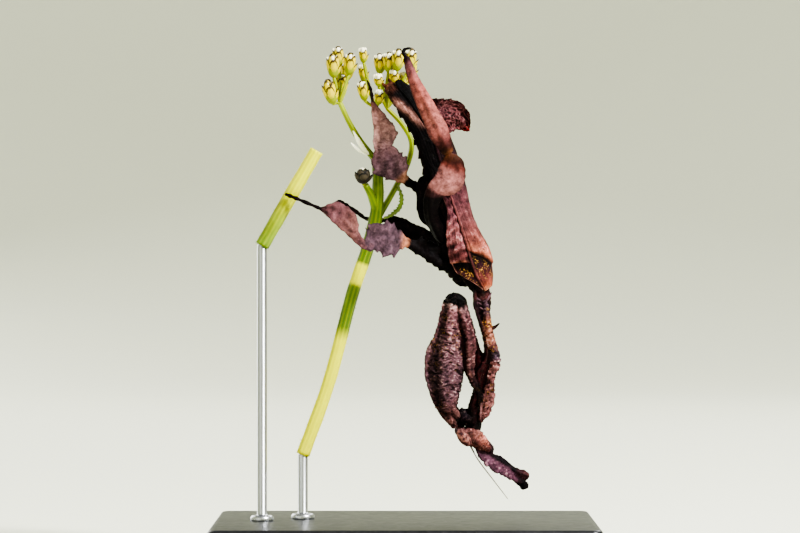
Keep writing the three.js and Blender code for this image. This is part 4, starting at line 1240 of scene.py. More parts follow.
@dataclass
class Forewing:
    """A leathery forewing that roofs half of the trunk's back."""

    trunk: Trunk
    seam: tuple[float, ...]  # radians from the back's middle, at tenths of the trunk
    edge: tuple[float, ...]  # the same for the outer edge
    flare: tuple[float, ...]  # mm that the outer edge stands off
    front: tuple[float, float]  # mm from the trunk's front end, at the seam and at the edge
    facet: tuple[float, float]  # the same for the shoulder facet's rear border
    tones: tuple[Any, ...]
    cross_fold: float  # mm, height of the folds across the wing
    lift: float = 0.34  # mm over the body
    thick: float = 0.22  # mm
    rings: int = 330
    columns: int = 72
    fold_pitch: float = 1.07  # mm
    long_veins: tuple[float, ...] = (0.16, 0.34, 0.52, 0.7, 0.86)
    cross_pitch: float = 0.5  # mm
    vein_height: float = 0.05  # mm
    roll_height: float = 0.0  # mm
    # painted highlight: the colour of the lit roll across the wing's rear
    roll_highlight: str = "#b88c7a"
    hem_tone: str = "#c09484"
    # facet tones: a pale rim, then darker toward the rear border, painted shadow under the wing's raised rear
    facet_tones: tuple[Any, ...] = (
        (0, "#c09488"), (0.05, "#b08478"), (0.09, "#4a2a26"), (0.3, "#42262a"), (0.6, "#160a0c"), (1, "#050303"),
    )
    flecked: tuple[float, float, float, float] = (0.08, 0.16, 0.4, 0.6)  # where q's golden flecks start and end
    flecks: float = 0.85  # their strength
    lip: tuple[float, float] = (1.05, 0.035)  # q of the lit ridge behind the facet, and its breadth
    ridge: float = 0.0  # mm, height of the ridge along the seam
    border: float = 0.0  # strength of the pale line along the outer edge
    hand: float = 1.0

    def place(self, u: Array, share: Array, lift: Array) -> Array:
        """Points over the trunk's back.

        Args:
            u: Shares of the trunk's length.
            share: Shares of the way from the seam to the outer edge.
            lift: Heights over the body, in mm.

        Returns:
            One place each.
        """
        centre, _, wide, deep = frames(self.trunk.rows, self.trunk.left, u)
        seam, edge = along(self.seam, u), along(self.edge, u)
        turn = seam + (edge - seam) * share
        out = lift + along(self.flare, u) * np.clip(share, 0, 1) ** 2.5
        w = (self.trunk.half_breadth(u) + out) * np.sin(turn)
        d = -(self.trunk.half_depth(u) + out) * np.cos(turn)
        return centre + w[:, None] * wide + d[:, None] * deep

    def relief(self, s: Array, share: Array) -> tuple[Array, Array]:
        """Veins, folds and buckles of the membrane.

        Args:
            s: Distances from the trunk's front end, in mm.
            share: Shares of the way from the seam to the outer edge.

        Returns:
            Heights in mm, and how far each point stands on a ridge, from -1 to 1.
        """
        zero = np.zeros(len(s))
        bend = 0.06 * np.sin(s * 0.55) + 0.05 * NOISE(np.stack([s / 2.5, share * 2, zero], 1))
        ribs = zero
        for v in self.long_veins:
            ribs = np.maximum(ribs, np.exp(-(((share - v - bend * (1 - v)) / 0.02) ** 2)))
        cell = np.floor(np.interp(share, (0, *self.long_veins, 1), range(len(self.long_veins) + 2)))
        wander = NOISE(np.stack([s / 0.9, share * 3.5, cell], 1))
        phase = s / self.cross_pitch + 0.37 * cell + 0.9 * wander
        cross = np.exp(-((((phase % 1.0) - 0.5) / 0.16) ** 2)) * (0.6 + 0.6 * wander)
        vein = np.clip(np.maximum(ribs, 0.6 * cross), 0, 1)
        warp = NOISE(np.stack([s / 1.6, share * 2.0, zero + 4.0 * self.hand], 1))
        fold = np.sin(2 * np.pi * s / self.fold_pitch + 3.0 * warp + 1.2 * share) * smooth_step(15, 10, s)
        buckle = NOISE.layered(np.stack([s / 1.7, share * 2.6, zero + self.hand * 3.1], 1), 3)
        calm = 1 - 0.8 * smooth_step(0.75, 1.0, share)
        height = self.vein_height * vein + (self.cross_fold * fold + 0.16 * buckle) * calm
        return height, np.clip(0.45 * vein + 5.0 * self.cross_fold * fold + 1.5 * buckle - 0.1, -1, 1)

    def rolled(self, rear: Array, share: Array) -> Array:
        """How far each point stands on the roll that crosses the wing's rear, from 0 to 1."""
        line = np.interp(rear, (0.76, 0.86, 0.94), (0.1, 0.5, 0.98))
        return np.exp(-(((share - line) / 0.24) ** 2)) * smooth_step(0.74, 0.8, rear) * smooth_step(0.95, 0.9, rear)

    def build(self, name: str) -> bpy.types.Object:
        """Makes the wing as a thin closed sheet.

        Args:
            name: The piece's name.

        Returns:
            The wing, in metres.
        """
        fine = np.linspace(0, 1, 600)
        run = spline(self.trunk.rows, fine)
        length = np.concatenate([[0], np.cumsum(np.linalg.norm(np.diff(run, axis=0), axis=1))])
        n, m = self.rings, self.columns
        share = np.repeat(np.linspace(0, 1, m)[None], n, 0)
        first = self.front[0] + (self.front[1] - self.front[0]) * share
        last = length[-1] - 0.35 - 1.1 * np.abs(2 * share - 1) ** 2.5
        s = first + (last - first) * np.linspace(0, 1, n)[:, None]
        border = self.facet[0] + (self.facet[1] - self.facet[0]) * share**0.8
        q = ((s - first) / (border - first)).ravel()
        from_end = np.minimum(s - first, last - s).ravel()
        s, share = s.ravel(), share.ravel()
        u = np.interp(s, length, fine)
        ragged = 1 + 0.04 * NOISE(np.stack([s / 0.6, 2.0 * self.hand + 0 * s, 0 * s], 1)) * share
        height, ridge = self.relief(s, share)
        inside = smooth_step(1.04, 0.97, q)
        bowl = np.sin(np.pi * np.clip(share, 0, 1)) ** 0.4
        dish = inside * bowl * (0.32 * smooth_step(0.05, 0.9, q) - 0.05)
        step = 0.14 * smooth_step(0.97, 1.03, q) * np.exp(-np.maximum(q - 1.03, 0) * 3.0) * bowl
        shape = height * (1 - 0.7 * inside) - dish + step + self.roll_height * self.rolled(u, share)
        shape = shape + self.ridge * np.exp(-(((share - 0.065) / 0.035) ** 2))
        close = np.clip(from_end / 0.12, 0, 1) * np.clip(np.minimum(share, 1 - share) / 0.02, 0, 1)
        body = self.thick * np.sqrt(1 - (1 - close) ** 2)
        top = self.place(u, share * ragged, self.lift + body + shape)
        low = self.place(u, share * ragged, self.lift + shape)
        quads: list[tuple[int, ...]] = []
        for i in range(n - 1):
            for k in range(m - 1):
                a = i * m + k
                quads.append((a, a + 1, a + m + 1, a + m))
                quads.append(tuple(n * m + j for j in (a + m, a + m + 1, a + 1, a)))
        around = [(0, k) for k in range(m)] + [(i, m - 1) for i in range(1, n)]
        around += [(n - 1, k) for k in range(m - 2, -1, -1)] + [(i, 0) for i in range(n - 2, 0, -1)]
        ids = [i * m + k for i, k in around]
        for a, b in zip(ids, ids[1:] + ids[:1]):
            quads.append((b, a, a + n * m, b + n * m))
        mesh = mesh_of(np.vstack([top, low]) * MM, quads)
        outward(mesh)
        tint = self.tint(s / length[-1], share, q)
        tint = np.hstack([tint, np.ones((len(tint), 1))])
        # the underside takes a darker copy of the tint, as painted shade
        store(mesh, "tint", np.vstack([tint, tint * [0.4, 0.4, 0.4, 1.0]]))
        ridge = ridge * (1 - 0.6 * inside)
        # vein holds veins, folds and buckles; the finish paints shade between them and highlights on them
        store(mesh, "vein", np.concatenate([ridge, ridge]))
        start, full, fade, end = self.flecked
        gold = inside * smooth_step(start, full, q) * smooth_step(end, fade, q) * smooth_step(0.95, 0.85, share)
        gold = gold * smooth_step(0.1, 0.2, share) * self.flecks
        store(mesh, "gold", np.concatenate([gold, gold * 0]))
        return link(mesh, name)

    def tint(self, rear: Array, share: Array, q: Array) -> Array:
        """The wing's colours, with painted shade and highlights.

        Args:
            rear: Shares of the trunk's length.
            share: Shares of the way from the seam to the outer edge.
            q: One at the shoulder facet's rear border, less inside it.

        Returns:
            Linear red, green and blue, a row a point.
        """
        colour = ramp(self.tones, rear)
        inside = smooth_step(1.02, 0.98, q)[:, None]
        facet = ramp(self.facet_tones, q)
        colour = colour * (1 - inside) + facet * inside
        # painted highlight along the roll
        if self.roll_height:
            roll = self.rolled(rear, share)[:, None]
            colour = colour * (1 - roll) + np.array(linear(self.roll_highlight)[:3]) * roll
        strength = inside * 0.8 + (1 - inside) * self.border * smooth_step(0.5, 0.42, rear)[:, None]
        hem = (smooth_step(0.92, 0.955, share) * smooth_step(1.0, 0.98, share))[:, None] * strength
        colour = colour * (1 - hem) + np.array(linear(self.hem_tone)[:3]) * hem
        lip = (np.exp(-(((q - self.lip[0]) / self.lip[1]) ** 2)) * smooth_step(0.05, 0.2, share))[:, None]
        colour = colour * (1 - 0.7 * lip) + np.array(linear("#d08a68")[:3]) * 0.7 * lip
        if self.ridge:
            spine = (np.exp(-(((share - 0.065) / 0.03) ** 2)) * smooth_step(0.62, 0.5, rear))[:, None]
            colour = colour * (1 - 0.8 * spine) + np.array(linear("#6a403a")[:3]) * 0.8 * spine
            colour = colour * (1 - 0.75 * np.exp(-(((share - 0.135) / 0.018) ** 2)))[:, None]
        # painted shadow: a dark line along the seam
        seam = 0.12 + 0.88 * smooth_step(0.02, 0.045, share)
        crest = 1 + 0.5 * np.exp(-(((share - 0.085) / 0.03) ** 2))
        # painted shade toward the outer edge, outside the facet
        outer = 1 - 0.7 * smooth_step(0.955, 0.99, share) * (1 - inside[:, 0])
        return colour * (seam * crest * outer)[:, None]


RIGHT_WING = Forewing(
    Trunk(), seam=(-0.1, -0.33, -0.36, -0.28, -0.08, -0.1, -0.15, -0.2, -0.25, -0.15, -0.1),
    edge=(-0.9, -1.1, -1.5, -1.25, -0.5, -0.6, -0.9, -1.05, -1.0, -1.1, -0.9),
    flare=(0.0, 0.05, 0.05, 0.05, 0.05, 0.1, 0.1, 0.1, 0.1, 0.1, 0.0), front=(0.15, 2.9), facet=(3.6, 4.3),
    # the rear half is painted nearly black as shade and cast shadow; only the tip is its own brown
    tones=(
        (0.0, "#94605e"), (0.19, "#6e403e"), (0.23, "#946062"), (0.3, "#a46c6c"), (0.36, "#84545a"),
        (0.42, "#74484c"), (0.48, "#3a1e22"), (0.55, "#0a0506"), (0.8, "#050304"), (0.94, "#080405"),
        (0.97, "#4e3024"), (1.0, "#7a5238"),
    ),
    cross_fold=0.12, flecked=(0.04, 0.12, 0.55, 0.8), border=0.45, roll_height=0.22, hand=-1.0,
)
LEFT_WING = Forewing(
    Trunk(), seam=(-0.14, -0.37, -0.4, -0.32, -0.12, -0.14, -0.19, -0.24, -0.29, -0.19, -0.14),
    edge=(1.1, 1.25, 1.3, 1.3, 1.3, 1.35, 1.35, 1.35, 1.2, 1.1, 0.9),
    flare=(0.0, 0.35, 0.4, 0.35, 0.75, 0.75, 0.5, 0.35, 0.35, 0.3, 0.1), front=(0.1, 0.3), facet=(5.2, 2.7),
    # the rear half is painted nearly black as shade and cast shadow
    tones=(
        (0.0, "#a8684e"), (0.14, "#be785c"), (0.2, "#b06c58"), (0.25, "#905850"), (0.31, "#7e504e"),
        (0.4, "#6e4448"), (0.5, "#563438"), (0.6, "#3a2024"), (0.7, "#120809"), (0.85, "#050303"), (1.0, "#040202"),
    ),
    cross_fold=0.03,
    # facet tones: pale at the front, darker toward the rear border, painted shadow under the wing's raised rear
    facet_tones=(
        (0, "#d09a70"), (0.12, "#b8684a"), (0.3, "#8a4c44"), (0.5, "#5e3230"), (0.7, "#3a1e26"), (0.88, "#160a0e"),
        (1, "#050303"),
    ),
    flecked=(0.2, 0.5, 0.85, 0.95), lip=(1.13, 0.07), ridge=0.07, lift=0.42, hand=1.0,
)


@dataclass
class Flap:
    """The broad leafy flap at the left forewing's rear edge."""

    rows: tuple[Row, ...] = (
        (1.8, 0.2, 49.3, 1.8, 1.9, 0.16), (3.0, 0.1, 49.35, 1.95, 2.0, 0.16), (4.2, 0.05, 49.3, 2.0, 0.16),
        (5.3, 0.0, 49.25, 1.95, 1.7, 0.16), (6.2, -0.05, 48.85, 1.3, 0.15), (6.75, -0.1, 48.15, 0.55, 0.5, 0.14),
        (7.05, -0.1, 47.8, 0.14, 0.13),
    )

    def build(self, name: str) -> bpy.types.Object:
        """Makes the flap as a netted sheet.

        Args:
            name: The piece's name.

        Returns:
            The flap, in metres.
        """
        limb = Limb(
            list(self.rows), UP,
            (
                (0.0, "#1a0e10"), (0.3, "#5e383a"), (0.55, "#704344"), (0.75, "#663636"), (0.88, "#7a221e"),
                (1.0, "#8a1410")
            ),
            blade=0.11, profile=(0.25, 0.05, -0.1, 0.0, 0.1, 0.0, -0.15, -0.05, 0.3), teeth=0.05, tooth_pitch=0.8,
            ripple=0.2, ripple_pitch=3.0, ring_step=0.045, sides=150,
        )
        form = limb.surface(90)
        s, t = form.data["s"], form.data["t"]
        warp = NOISE(np.stack([s / 0.8, t / 0.8, 0 * s], 1))
        net = np.abs(NOISE(np.stack([s / 0.4 + warp, t / 0.4, 0 * s + 3.0], 1)))
        vein = np.clip(1 - net * 4.0, 0, 1)
        mesh = mesh_of(form.points * MM, form.faces)
        outward(mesh)
        lifted = vertices_of(mesh) + vertices_of(mesh, normals=True) * (0.07 * MM * vein)[:, None]
        mesh.vertices.foreach_set("co", lifted.ravel())
        colour = np.stack([form.data["red"], form.data["green"], form.data["blue"], np.ones(len(s))], 1)
        store(mesh, "tint", colour)
        store(mesh, "vein", 2.2 * vein - 0.9 + 0.8 * warp)
        store(mesh, "gold", np.zeros(len(s)))
        return link(mesh, name)


# ---- The animal -----------------------------------------------------------------------------


def mirrored(rows: Sequence[Row], shift: float = 0.15) -> list[Row]:
    """The left raptorial leg's rows from the right one's, held a little nearer to the back."""
    return [(r[0] + shift, -r[1], *r[2:]) for r in rows]


@dataclass
class Forebody:
    """Pronotum, neck, head and crest."""

    pronotum: tuple[Row, ...] = (
        (7.9, 0, 31.6, 1.0, 0.6), (8.25, 0, 30.35, 1.3, 1.35, 0.6), (8.35, 0, 29.2, 1.5, 0.55),
        (8.45, 0, 27.9, 1.2, 1.3, 0.5), (8.85, 0, 26.1, 0.95, 0.85, 0.45), (9.15, 0, 24.8, 0.95, 0.9, 0.45),
        (9.25, 0, 22.9, 1.45, 0.95, 0.42), (9.0, 0, 21.3, 1.4, 1.75, 0.45), (8.75, 0, 20.0, 1.25, 1.5, 0.5),
        (8.5, 0, 18.2, 1.6, 1.8, 0.5), (8.1, 0, 17.2, 1.35, 1.7, 0.5), (7.8, 0, 16.1, 0.7, 1.2, 0.45),
    )
    pronotum_left: Row = (0.722, 0.692, 0.0)
    strip: tuple[Row, ...] = (
        (8.75, -0.45, 29.1, 0.2), (8.85, -0.55, 28.6, 0.3, 0.22), (8.98, -0.6, 27.9, 0.32, 0.24),
        (9.0, -0.7, 26.45, 0.52, 0.5, 0.28), (9.3, -0.75, 24.8, 0.56, 0.28), (9.9, -0.75, 23.4, 0.5, 0.45, 0.26),
        (9.9, -0.75, 22.2, 0.56, 0.54, 0.28), (9.42, -0.75, 20.6, 0.42, 0.28), (9.3, -0.75, 19.5, 0.58, 0.3),
        (9.06, -0.7, 18.0, 0.74, 0.72, 0.34), (8.75, -0.65, 16.8, 0.55, 0.52, 0.32), (8.3, -0.6, 15.8, 0.2),
    )
    # a dark sheet under the pronotum, painted as shade
    hollow_shade: tuple[Row, ...] = (
        (7.75, 0.1, 25.1, 0.18, 0.2, 0.18), (7.95, 0.1, 23.9, 0.28, 0.35, 0.28), (8.2, 0.0, 22.3, 0.9, 0.6, 0.4),
        (8.25, -0.1, 20.6, 0.75, 0.65, 0.4), (8.0, -0.2, 19.2, 0.6, 0.55, 0.42), (7.6, -0.3, 17.8, 0.65, 0.6, 0.5),
        (7.4, -0.4, 16.4, 0.7, 0.6), (7.3, -0.4, 15.3, 0.6, 0.5),
    )
    collar: tuple[tuple[Row, ...], ...] = (
        ((9.5, -0.5, 30.1, 0.1), (9.2, -0.68, 29.5, 0.11), (8.7, -0.82, 28.85, 0.09)),
        ((7.75, -0.7, 29.45, 0.07), (8.1, -0.84, 29.3, 0.09), (8.4, -0.86, 29.05, 0.07)),
        ((7.9, -0.74, 28.95, 0.07), (8.2, -0.86, 28.85, 0.09), (8.5, -0.86, 28.6, 0.07)),
        ((8.1, -0.76, 28.45, 0.07), (8.35, -0.86, 28.35, 0.08), (8.6, -0.84, 28.15, 0.07)),
    )
    rim_line: tuple[Row, ...] = (
        (8.45, -0.93, 19.0, 0.07), (8.33, -0.98, 17.8, 0.08), (8.25, -0.93, 16.6, 0.08), (8.35, -0.78, 15.7, 0.07),
    )
    thorn: tuple[Row, ...] = ((9.1, -0.4, 26.0, 0.34, 0.3), (9.8, -0.55, 26.2, 0.2), (10.45, -0.65, 26.75, 0.09))
    neck: tuple[Row, ...] = ((7.9, 0, 17.0, 0.8, 0.7), (7.65, 0, 15.8, 0.8, 0.7), (7.4, 0, 14.6, 0.9, 0.7))
    throat: tuple[Row, ...] = (
        (5.5, -0.9, 16.6, 0.35), (6.1, -0.7, 16.6, 0.75, 0.6), (6.9, -0.5, 16.3, 0.95, 0.65),
        (7.8, -0.3, 16.1, 0.8, 0.6),
    )
    head: tuple[Row, ...] = (
        (5.5, 0, 15.0, 0.5, 0.35), (6.2, 0, 14.7, 1.3, 0.62), (7.1, 0, 14.25, 1.75, 0.78),
        (8.0, 0, 13.75, 1.6, 0.8), (8.9, 0, 13.1, 1.1, 0.62), (9.7, 0, 12.5, 0.7, 0.4),
    )
    head_left: Row = (0.25, 0.97, 0.0)
    brow: tuple[Row, ...] = (
        (5.55, -1.2, 14.9, 0.3, 0.26), (6.5, -1.45, 14.5, 0.75, 0.34), (7.55, -1.25, 13.95, 1.2, 0.85, 0.36),
        (8.5, -0.9, 13.3, 0.85, 0.6, 0.34), (9.35, -0.6, 12.65, 0.3, 0.26),
    )
    crest_upper: tuple[Row, ...] = (
        (8.6, -0.1, 13.1, 0.4, 0.36), (9.4, -0.15, 12.05, 0.42, 0.5, 0.32), (10.3, -0.15, 11.5, 0.6, 0.55, 0.3),
        (11.1, -0.1, 10.95, 0.55, 0.6, 0.28), (11.8, -0.05, 10.5, 0.45, 0.55, 0.28),
        (12.6, 0.0, 10.1, 0.55, 0.5, 0.28), (13.3, 0.05, 9.85, 0.5, 0.42, 0.27),
        (13.65, 0.05, 9.7, 0.34, 0.3, 0.22),
    )
    crest_lower: tuple[Row, ...] = (
        (7.7, -0.5, 13.4, 0.3, 0.28), (8.4, -0.55, 12.35, 0.5, 0.26), (9.4, -0.5, 11.35, 0.62, 0.25),
        (10.7, -0.4, 10.55, 0.62, 0.25), (11.8, -0.2, 9.85, 0.5, 0.25), (12.5, 0.0, 9.3, 0.4, 0.36, 0.3),
        (13.15, 0.05, 8.8, 0.56, 0.5), (13.5, 0.05, 8.5, 0.34, 0.32),
    )
    crest_side: Row = (0.42, 0.3, 0.85)

    def limbs(self) -> list[Limb]:
        """Pronotum, neck, head and crest.

        Returns:
            The forms that the skin grows over.
        """
        return [
            # pronotum blade: painted dark as shade, darkest in its channel
            Limb(
                self.pronotum, self.pronotum_left,
                (
                    (0.0, "#0e0708"), (0.1, "#160a0c"), (0.16, "#5a3230"), (0.2, "#1a0d10"), (0.3, "#3a2428"),
                    (0.38, "#4a2c28"), (0.45, "#3a1416"), (0.7, "#3a1012"), (1.0, "#1a090b"),
                ),
                blade=0.24, teeth=0.04, tooth_pitch=1.3, profile=(0.35, 0.1, -0.15, -0.25, -0.2, -0.05, 0.1),
                shade=(1.2, 0.8, 0.6, 0.6, 0.8, 1.0, 1.2), wrinkle=0.06, wrinkle_pitch=0.55,
            ),
            # strip: the pronotum's lit lobe, painted in lit colours
            Limb(
                self.strip, ACROSS,
                (
                    (0.0, "#54404a"), (0.12, "#5a434c"), (0.2, "#60464c"), (0.25, "#a06a54"), (0.34, "#a87058"),
                    (0.41, "#8a5a54"), (0.46, "#6a5a66"), (0.5, "#62505c"), (0.54, "#94625c"), (0.62, "#966460"),
                    (0.68, "#4a2a2e"), (0.73, "#a06e68"), (0.88, "#905e5a"), (1.0, "#50302e"),
                ),
                rim=0.6, blade=0.2, teeth=0.06, tooth_pitch=0.9, profile=(-0.1, 0.1, 0.16, 0.1, 0.0, -0.12),
                wrinkle=0.1, wrinkle_pitch=0.34,
                gold=(0.0, 0.0, 0.5, 1.0, 0.8, 0.1, 0.02, 0.1, 0.2, 0.1, 0.04, 0.0),
            ),
            # dark sheet painted as the shade under the pronotum
            Limb(self.hollow_shade, ACROSS, ("#2a0c0e", "#3a0e10", "#2a0a0c", "#120608"), wrinkle=0.05),
            *(Limb(ridge, ACROSS, ("#5e444e", "#886a70", "#5e444e"), wrinkle=0.02) for ridge in self.collar),
            Limb(self.rim_line, ACROSS, ("#8a6460", "#a87c78", "#70484a"), wrinkle=0.02),
            Limb(self.thorn, UP, ("#3a1c18", "#0c0607"), wrinkle=0.0),
            # the neck is painted nearly black as shade
            Limb(self.neck, ACROSS, ("#0e0708",), wrinkle=0.06),
            Limb(
                self.head, self.head_left, ("#5a3228", "#6a4038", "#744842", "#683e3c", "#4e2e34", "#2e1a22"),
                blade=0.4, wrinkle=0.05, wrinkle_pitch=0.4,
            ),
            Limb(
                self.brow, (0.523, 0.0, 0.852),
                (
                    (0.0, "#54383a"), (0.25, "#7a524e"), (0.5, "#9c665c"), (0.75, "#ac6a58"), (0.92, "#7a4842"),
                    (1.0, "#2c181e")
                ),
                rim=0.35, blade=0.24, profile=(-0.15, 0.05, 0.1, 0.0, 0.12, 0.1, -0.1),
                shade=(0.4, 0.7, 0.9, 0.8, 1.1, 1.2, 1.0), teeth=0.03, tooth_pitch=0.7, wrinkle=0.08,
                wrinkle_pitch=0.26, veined=0.5, gold=(0.06,),
            ),
            Limb(
                self.crest_upper, self.crest_side,
                (
                    (0.0, "#3a2024"), (0.2, "#100a0e"), (0.6, "#160c12"), (0.72, "#4a2c30"), (0.9, "#5a3434"),
                    (1.0, "#1a0c0e")
                ),
                teeth=0.12, tooth_pitch=0.8, profile=(0.05, -0.08, 0.08, -0.05, 0.08),
                shade=(0.6, 1.2, 0.5, 1.4, 0.8), wrinkle=0.05, wrinkle_pitch=0.3,
            ),
            Limb(
                self.crest_lower, self.crest_side,
                (
                    (0.0, "#20121a"), (0.1, "#3c2632"), (0.22, "#745060"), (0.5, "#704c5c"), (0.62, "#5a3a48"),
                    (0.72, "#241218"), (0.79, "#0a0506"), (1.0, "#080405"),
                ),
                rim=0.25, teeth=0.18, tooth_pitch=1.0, ripple=0.08, ripple_pitch=1.7,
                profile=(0.1, 0.0, -0.08, 0.05, 0.12), wrinkle=0.07, wrinkle_pitch=0.35,
            ),
        ]


@dataclass
class RaptorialLeg:
    """A folded grasping leg: coxa, leafy femur, tibia and foot. Rows are the right leg's."""

    hand: int  # 1 right, -1 left
    coxa: tuple[Row, ...] = (
        (8.1, -0.6, 17.6, 0.5), (8.05, -1.1, 19.2, 0.42, 0.4), (7.3, -1.6, 20.7, 0.4, 0.42, 0.38),
        (7.05, -1.9, 22.6, 0.6, 0.55, 0.42), (7.1, -2.0, 24.5, 0.72, 0.62, 0.44),
        (6.75, -2.05, 26.4, 0.66, 0.6, 0.46), (6.3, -2.05, 28.0, 0.6, 0.62, 0.48),
        (5.85, -2.05, 29.35, 0.72, 0.6, 0.56),
    )
    # a dark sheet between coxa and femur, painted as the shade in the gap between them
    shade_web: tuple[Row, ...] = (
        (5.3, -1.75, 28.7, 0.25, 0.2), (5.85, -1.75, 26.6, 0.4, 0.24), (6.35, -1.7, 24.3, 0.5, 0.24),
        (6.5, -1.65, 22.4, 0.45, 0.4, 0.24), (6.95, -1.5, 20.8, 0.2),
    )
    femur: tuple[Row, ...] = (
        (5.4, -2.05, 29.85, 0.75, 0.7, 0.6), (5.15, -2.05, 29.0, 0.95, 0.9, 0.6),
        (4.85, -2.0, 27.4, 1.1, 1.05, 0.62), (4.7, -2.0, 25.35, 1.5, 1.45, 0.62),
        (4.3, -2.0, 23.05, 2.1, 2.05, 0.7), (4.2, -2.0, 20.85, 2.1, 2.0, 0.7), (4.3, -1.95, 19.3, 1.75, 1.65, 0.62),
        (4.5, -1.85, 17.75, 1.25, 1.2, 0.52), (4.8, -1.7, 16.6, 0.7, 0.65, 0.42),
    )
    # cap: a black dome over the femur's root, painted as shade
    cap: tuple[Row, ...] = (
        (4.85, -2.05, 29.3, 0.45, 0.5, 0.5), (5.45, -2.1, 29.4, 0.5, 0.6, 0.62), (6.1, -2.05, 29.05, 0.5, 0.58),
        (6.5, -2.05, 28.5, 0.32, 0.45),
    )
    knee: tuple[tuple[Row, ...], ...] = (
        ((4.75, -1.95, 17.3, 0.4), (5.5, -1.9, 16.9, 0.42), (5.75, -1.8, 16.2, 0.3)),
        ((4.55, -1.85, 16.9, 0.45, 0.4), (5.05, -1.8, 16.0, 0.45, 0.42), (5.55, -1.6, 15.2, 0.3)),
    )
    tibia: tuple[Row, ...] = (
        (5.1, -1.2, 15.8, 0.45, 0.42), (3.95, -0.75, 17.2, 0.42, 0.33), (3.15, -0.75, 19.0, 0.45, 0.32),
        (2.85, -0.8, 21.05, 0.45, 0.32), (3.1, -0.8, 23.15, 0.42, 0.3), (3.7, -0.75, 25.0, 0.3, 0.25),
        (4.4, -0.7, 26.1, 0.12),
    )
    foot: tuple[Row, ...] = ((3.7, -0.6, 24.6, 0.17), (4.4, -0.55, 25.9, 0.15), (4.8, -0.5, 27.3, 0.1))

    def side_rows(self, rows: Sequence[Row]) -> list[Row]:
        """The rows on this leg's side."""
        return list(rows) if self.hand > 0 else mirrored(rows)

    def limbs(self) -> list[Limb]:
        """The leg's coxa, cap, dark shade sheet, femur, knee, tibia and foot.

        Returns:
            The forms that the skin grows over.
        """
        facing = (0.0, -float(self.hand), 0.0)
        lumps = [
            Limb(
                self.side_rows(rows), UP, ("#3a2222", "#74504a", "#3a201e"), wrinkle=0.08, wrinkle_pitch=0.28
            ) for rows in self.knee
        ]
        return [
            # the coxa's upper end is painted black as the shade under the cap, and its left side darker as painted
            # shade
            Limb(
                self.side_rows(self.coxa), ACROSS,
                (
                    (0.0, "#10070a"), (0.22, "#180a0c"), (0.3, "#4a2e2e"), (0.42, "#6e4848"), (0.6, "#6c4648"),
                    (0.8, "#80565a"), (0.88, "#b08886"), (0.915, "#120a0d"), (1.0, "#080406"),
                ),
                shade=(0.15, 0.25, 0.95, 1.1, 0.8, 0.5, 1.1, 0.3),
                profile=(-0.2, -0.1, 0.08, 0.12, 0.0, -0.06, 0.1, -0.1), face=facing, blade=0.3, wrinkle=0.08,
                wrinkle_pitch=0.36, gold=(0.03,),
            ),
            # the cap, painted black as shade
            Limb(self.side_rows(self.cap), UP, ("#080406",), wrinkle=0.02),
            # the dark sheet, painted as shade between coxa and femur
            Limb(self.side_rows(self.shade_web), ACROSS, ("#2a0c0e", "#3a1012", "#22090b"), blade=0.14, wrinkle=0.03),
            # the femur's root is painted black as the shade under the cap
            Limb(
                self.side_rows(self.femur), ACROSS,
                (
                    (0.0, "#080406"), (0.145, "#080406"), (0.155, "#e0b8b0"), (0.18, "#c89894"), (0.2, "#845c60"),
                    (0.35, "#745256"), (0.6, "#664c52"), (0.8, "#5a4046"), (0.92, "#5e403e"), (1.0, "#56342e"),
                ),
                shade=(1.0, 0.65, 0.2, 0.22, 0.7, 1.0, 1.1, 1.2, 1.25, 1.1, 0.4),
                profile=(0.1, -0.12, 0.1, 0.2, 0.26, 0.28, 0.26, 0.2, 0.12, 0.0, -0.2), face=facing, blade=0.3,
                teeth=0.02, tooth_pitch=0.9, wrinkle=0.13, wrinkle_pitch=0.36, veined=0.0,
                gold=(0.0, 0.0, 0.12, 0.2, 0.1, 0.05, 0.05, 0.05, 0.0),
            ),
            *lumps,
            Limb(self.side_rows(self.tibia), ACROSS, ("#4a2420", "#2a181c", "#241418", "#1a0f12"), wrinkle=0.03),
            Limb(self.side_rows(self.foot), UP, ("#1e1214",), wrinkle=0.0, segments=4),
        ]

    def spines(self) -> list[tuple[Array, Array, float]]:
        """The spines of femur, tibia and coxa.

        Returns:
            Foot, direction and length in mm of each.
        """
        found = []
        back = float(self.hand)
        for rows, count, reach, lean, along_x in (
            (self.femur, 15, 0.62, -0.35, 0.5), (self.femur, 13, 0.55, 0.35, -0.25),
            (self.tibia, 16, 0.5, -0.2, -0.3),
        ):
            table = self.side_rows(rows)
            for k, share in enumerate(np.linspace(0.2, 0.86, count)):
                centre, ahead, wide, _ = frames(table, ACROSS, np.array([share]))
                outward_y = back if rows is self.femur else -back
                foot = centre[0] + wide[0] * lean * 1.1 + np.array([0.0, outward_y * 0.4, 0.0])
                aim = unit(np.array([along_x, outward_y, 0.0]) + 0.35 * ahead[0])
                found.append((foot, aim, reach * (1.35 if k % 2 else 0.8)))
        for k, (x, z) in enumerate(((7.6, 19.6), (7.4, 20.3), (7.5, 21.2), (7.55, 22.3))):
            foot = np.array([x + (0.0 if back > 0 else 0.15), -1.6 * back, z])
            found.append((foot, unit(np.array([0.8, -0.4 * back, -0.5])), 0.3 + 0.05 * (k % 2)))
        return found


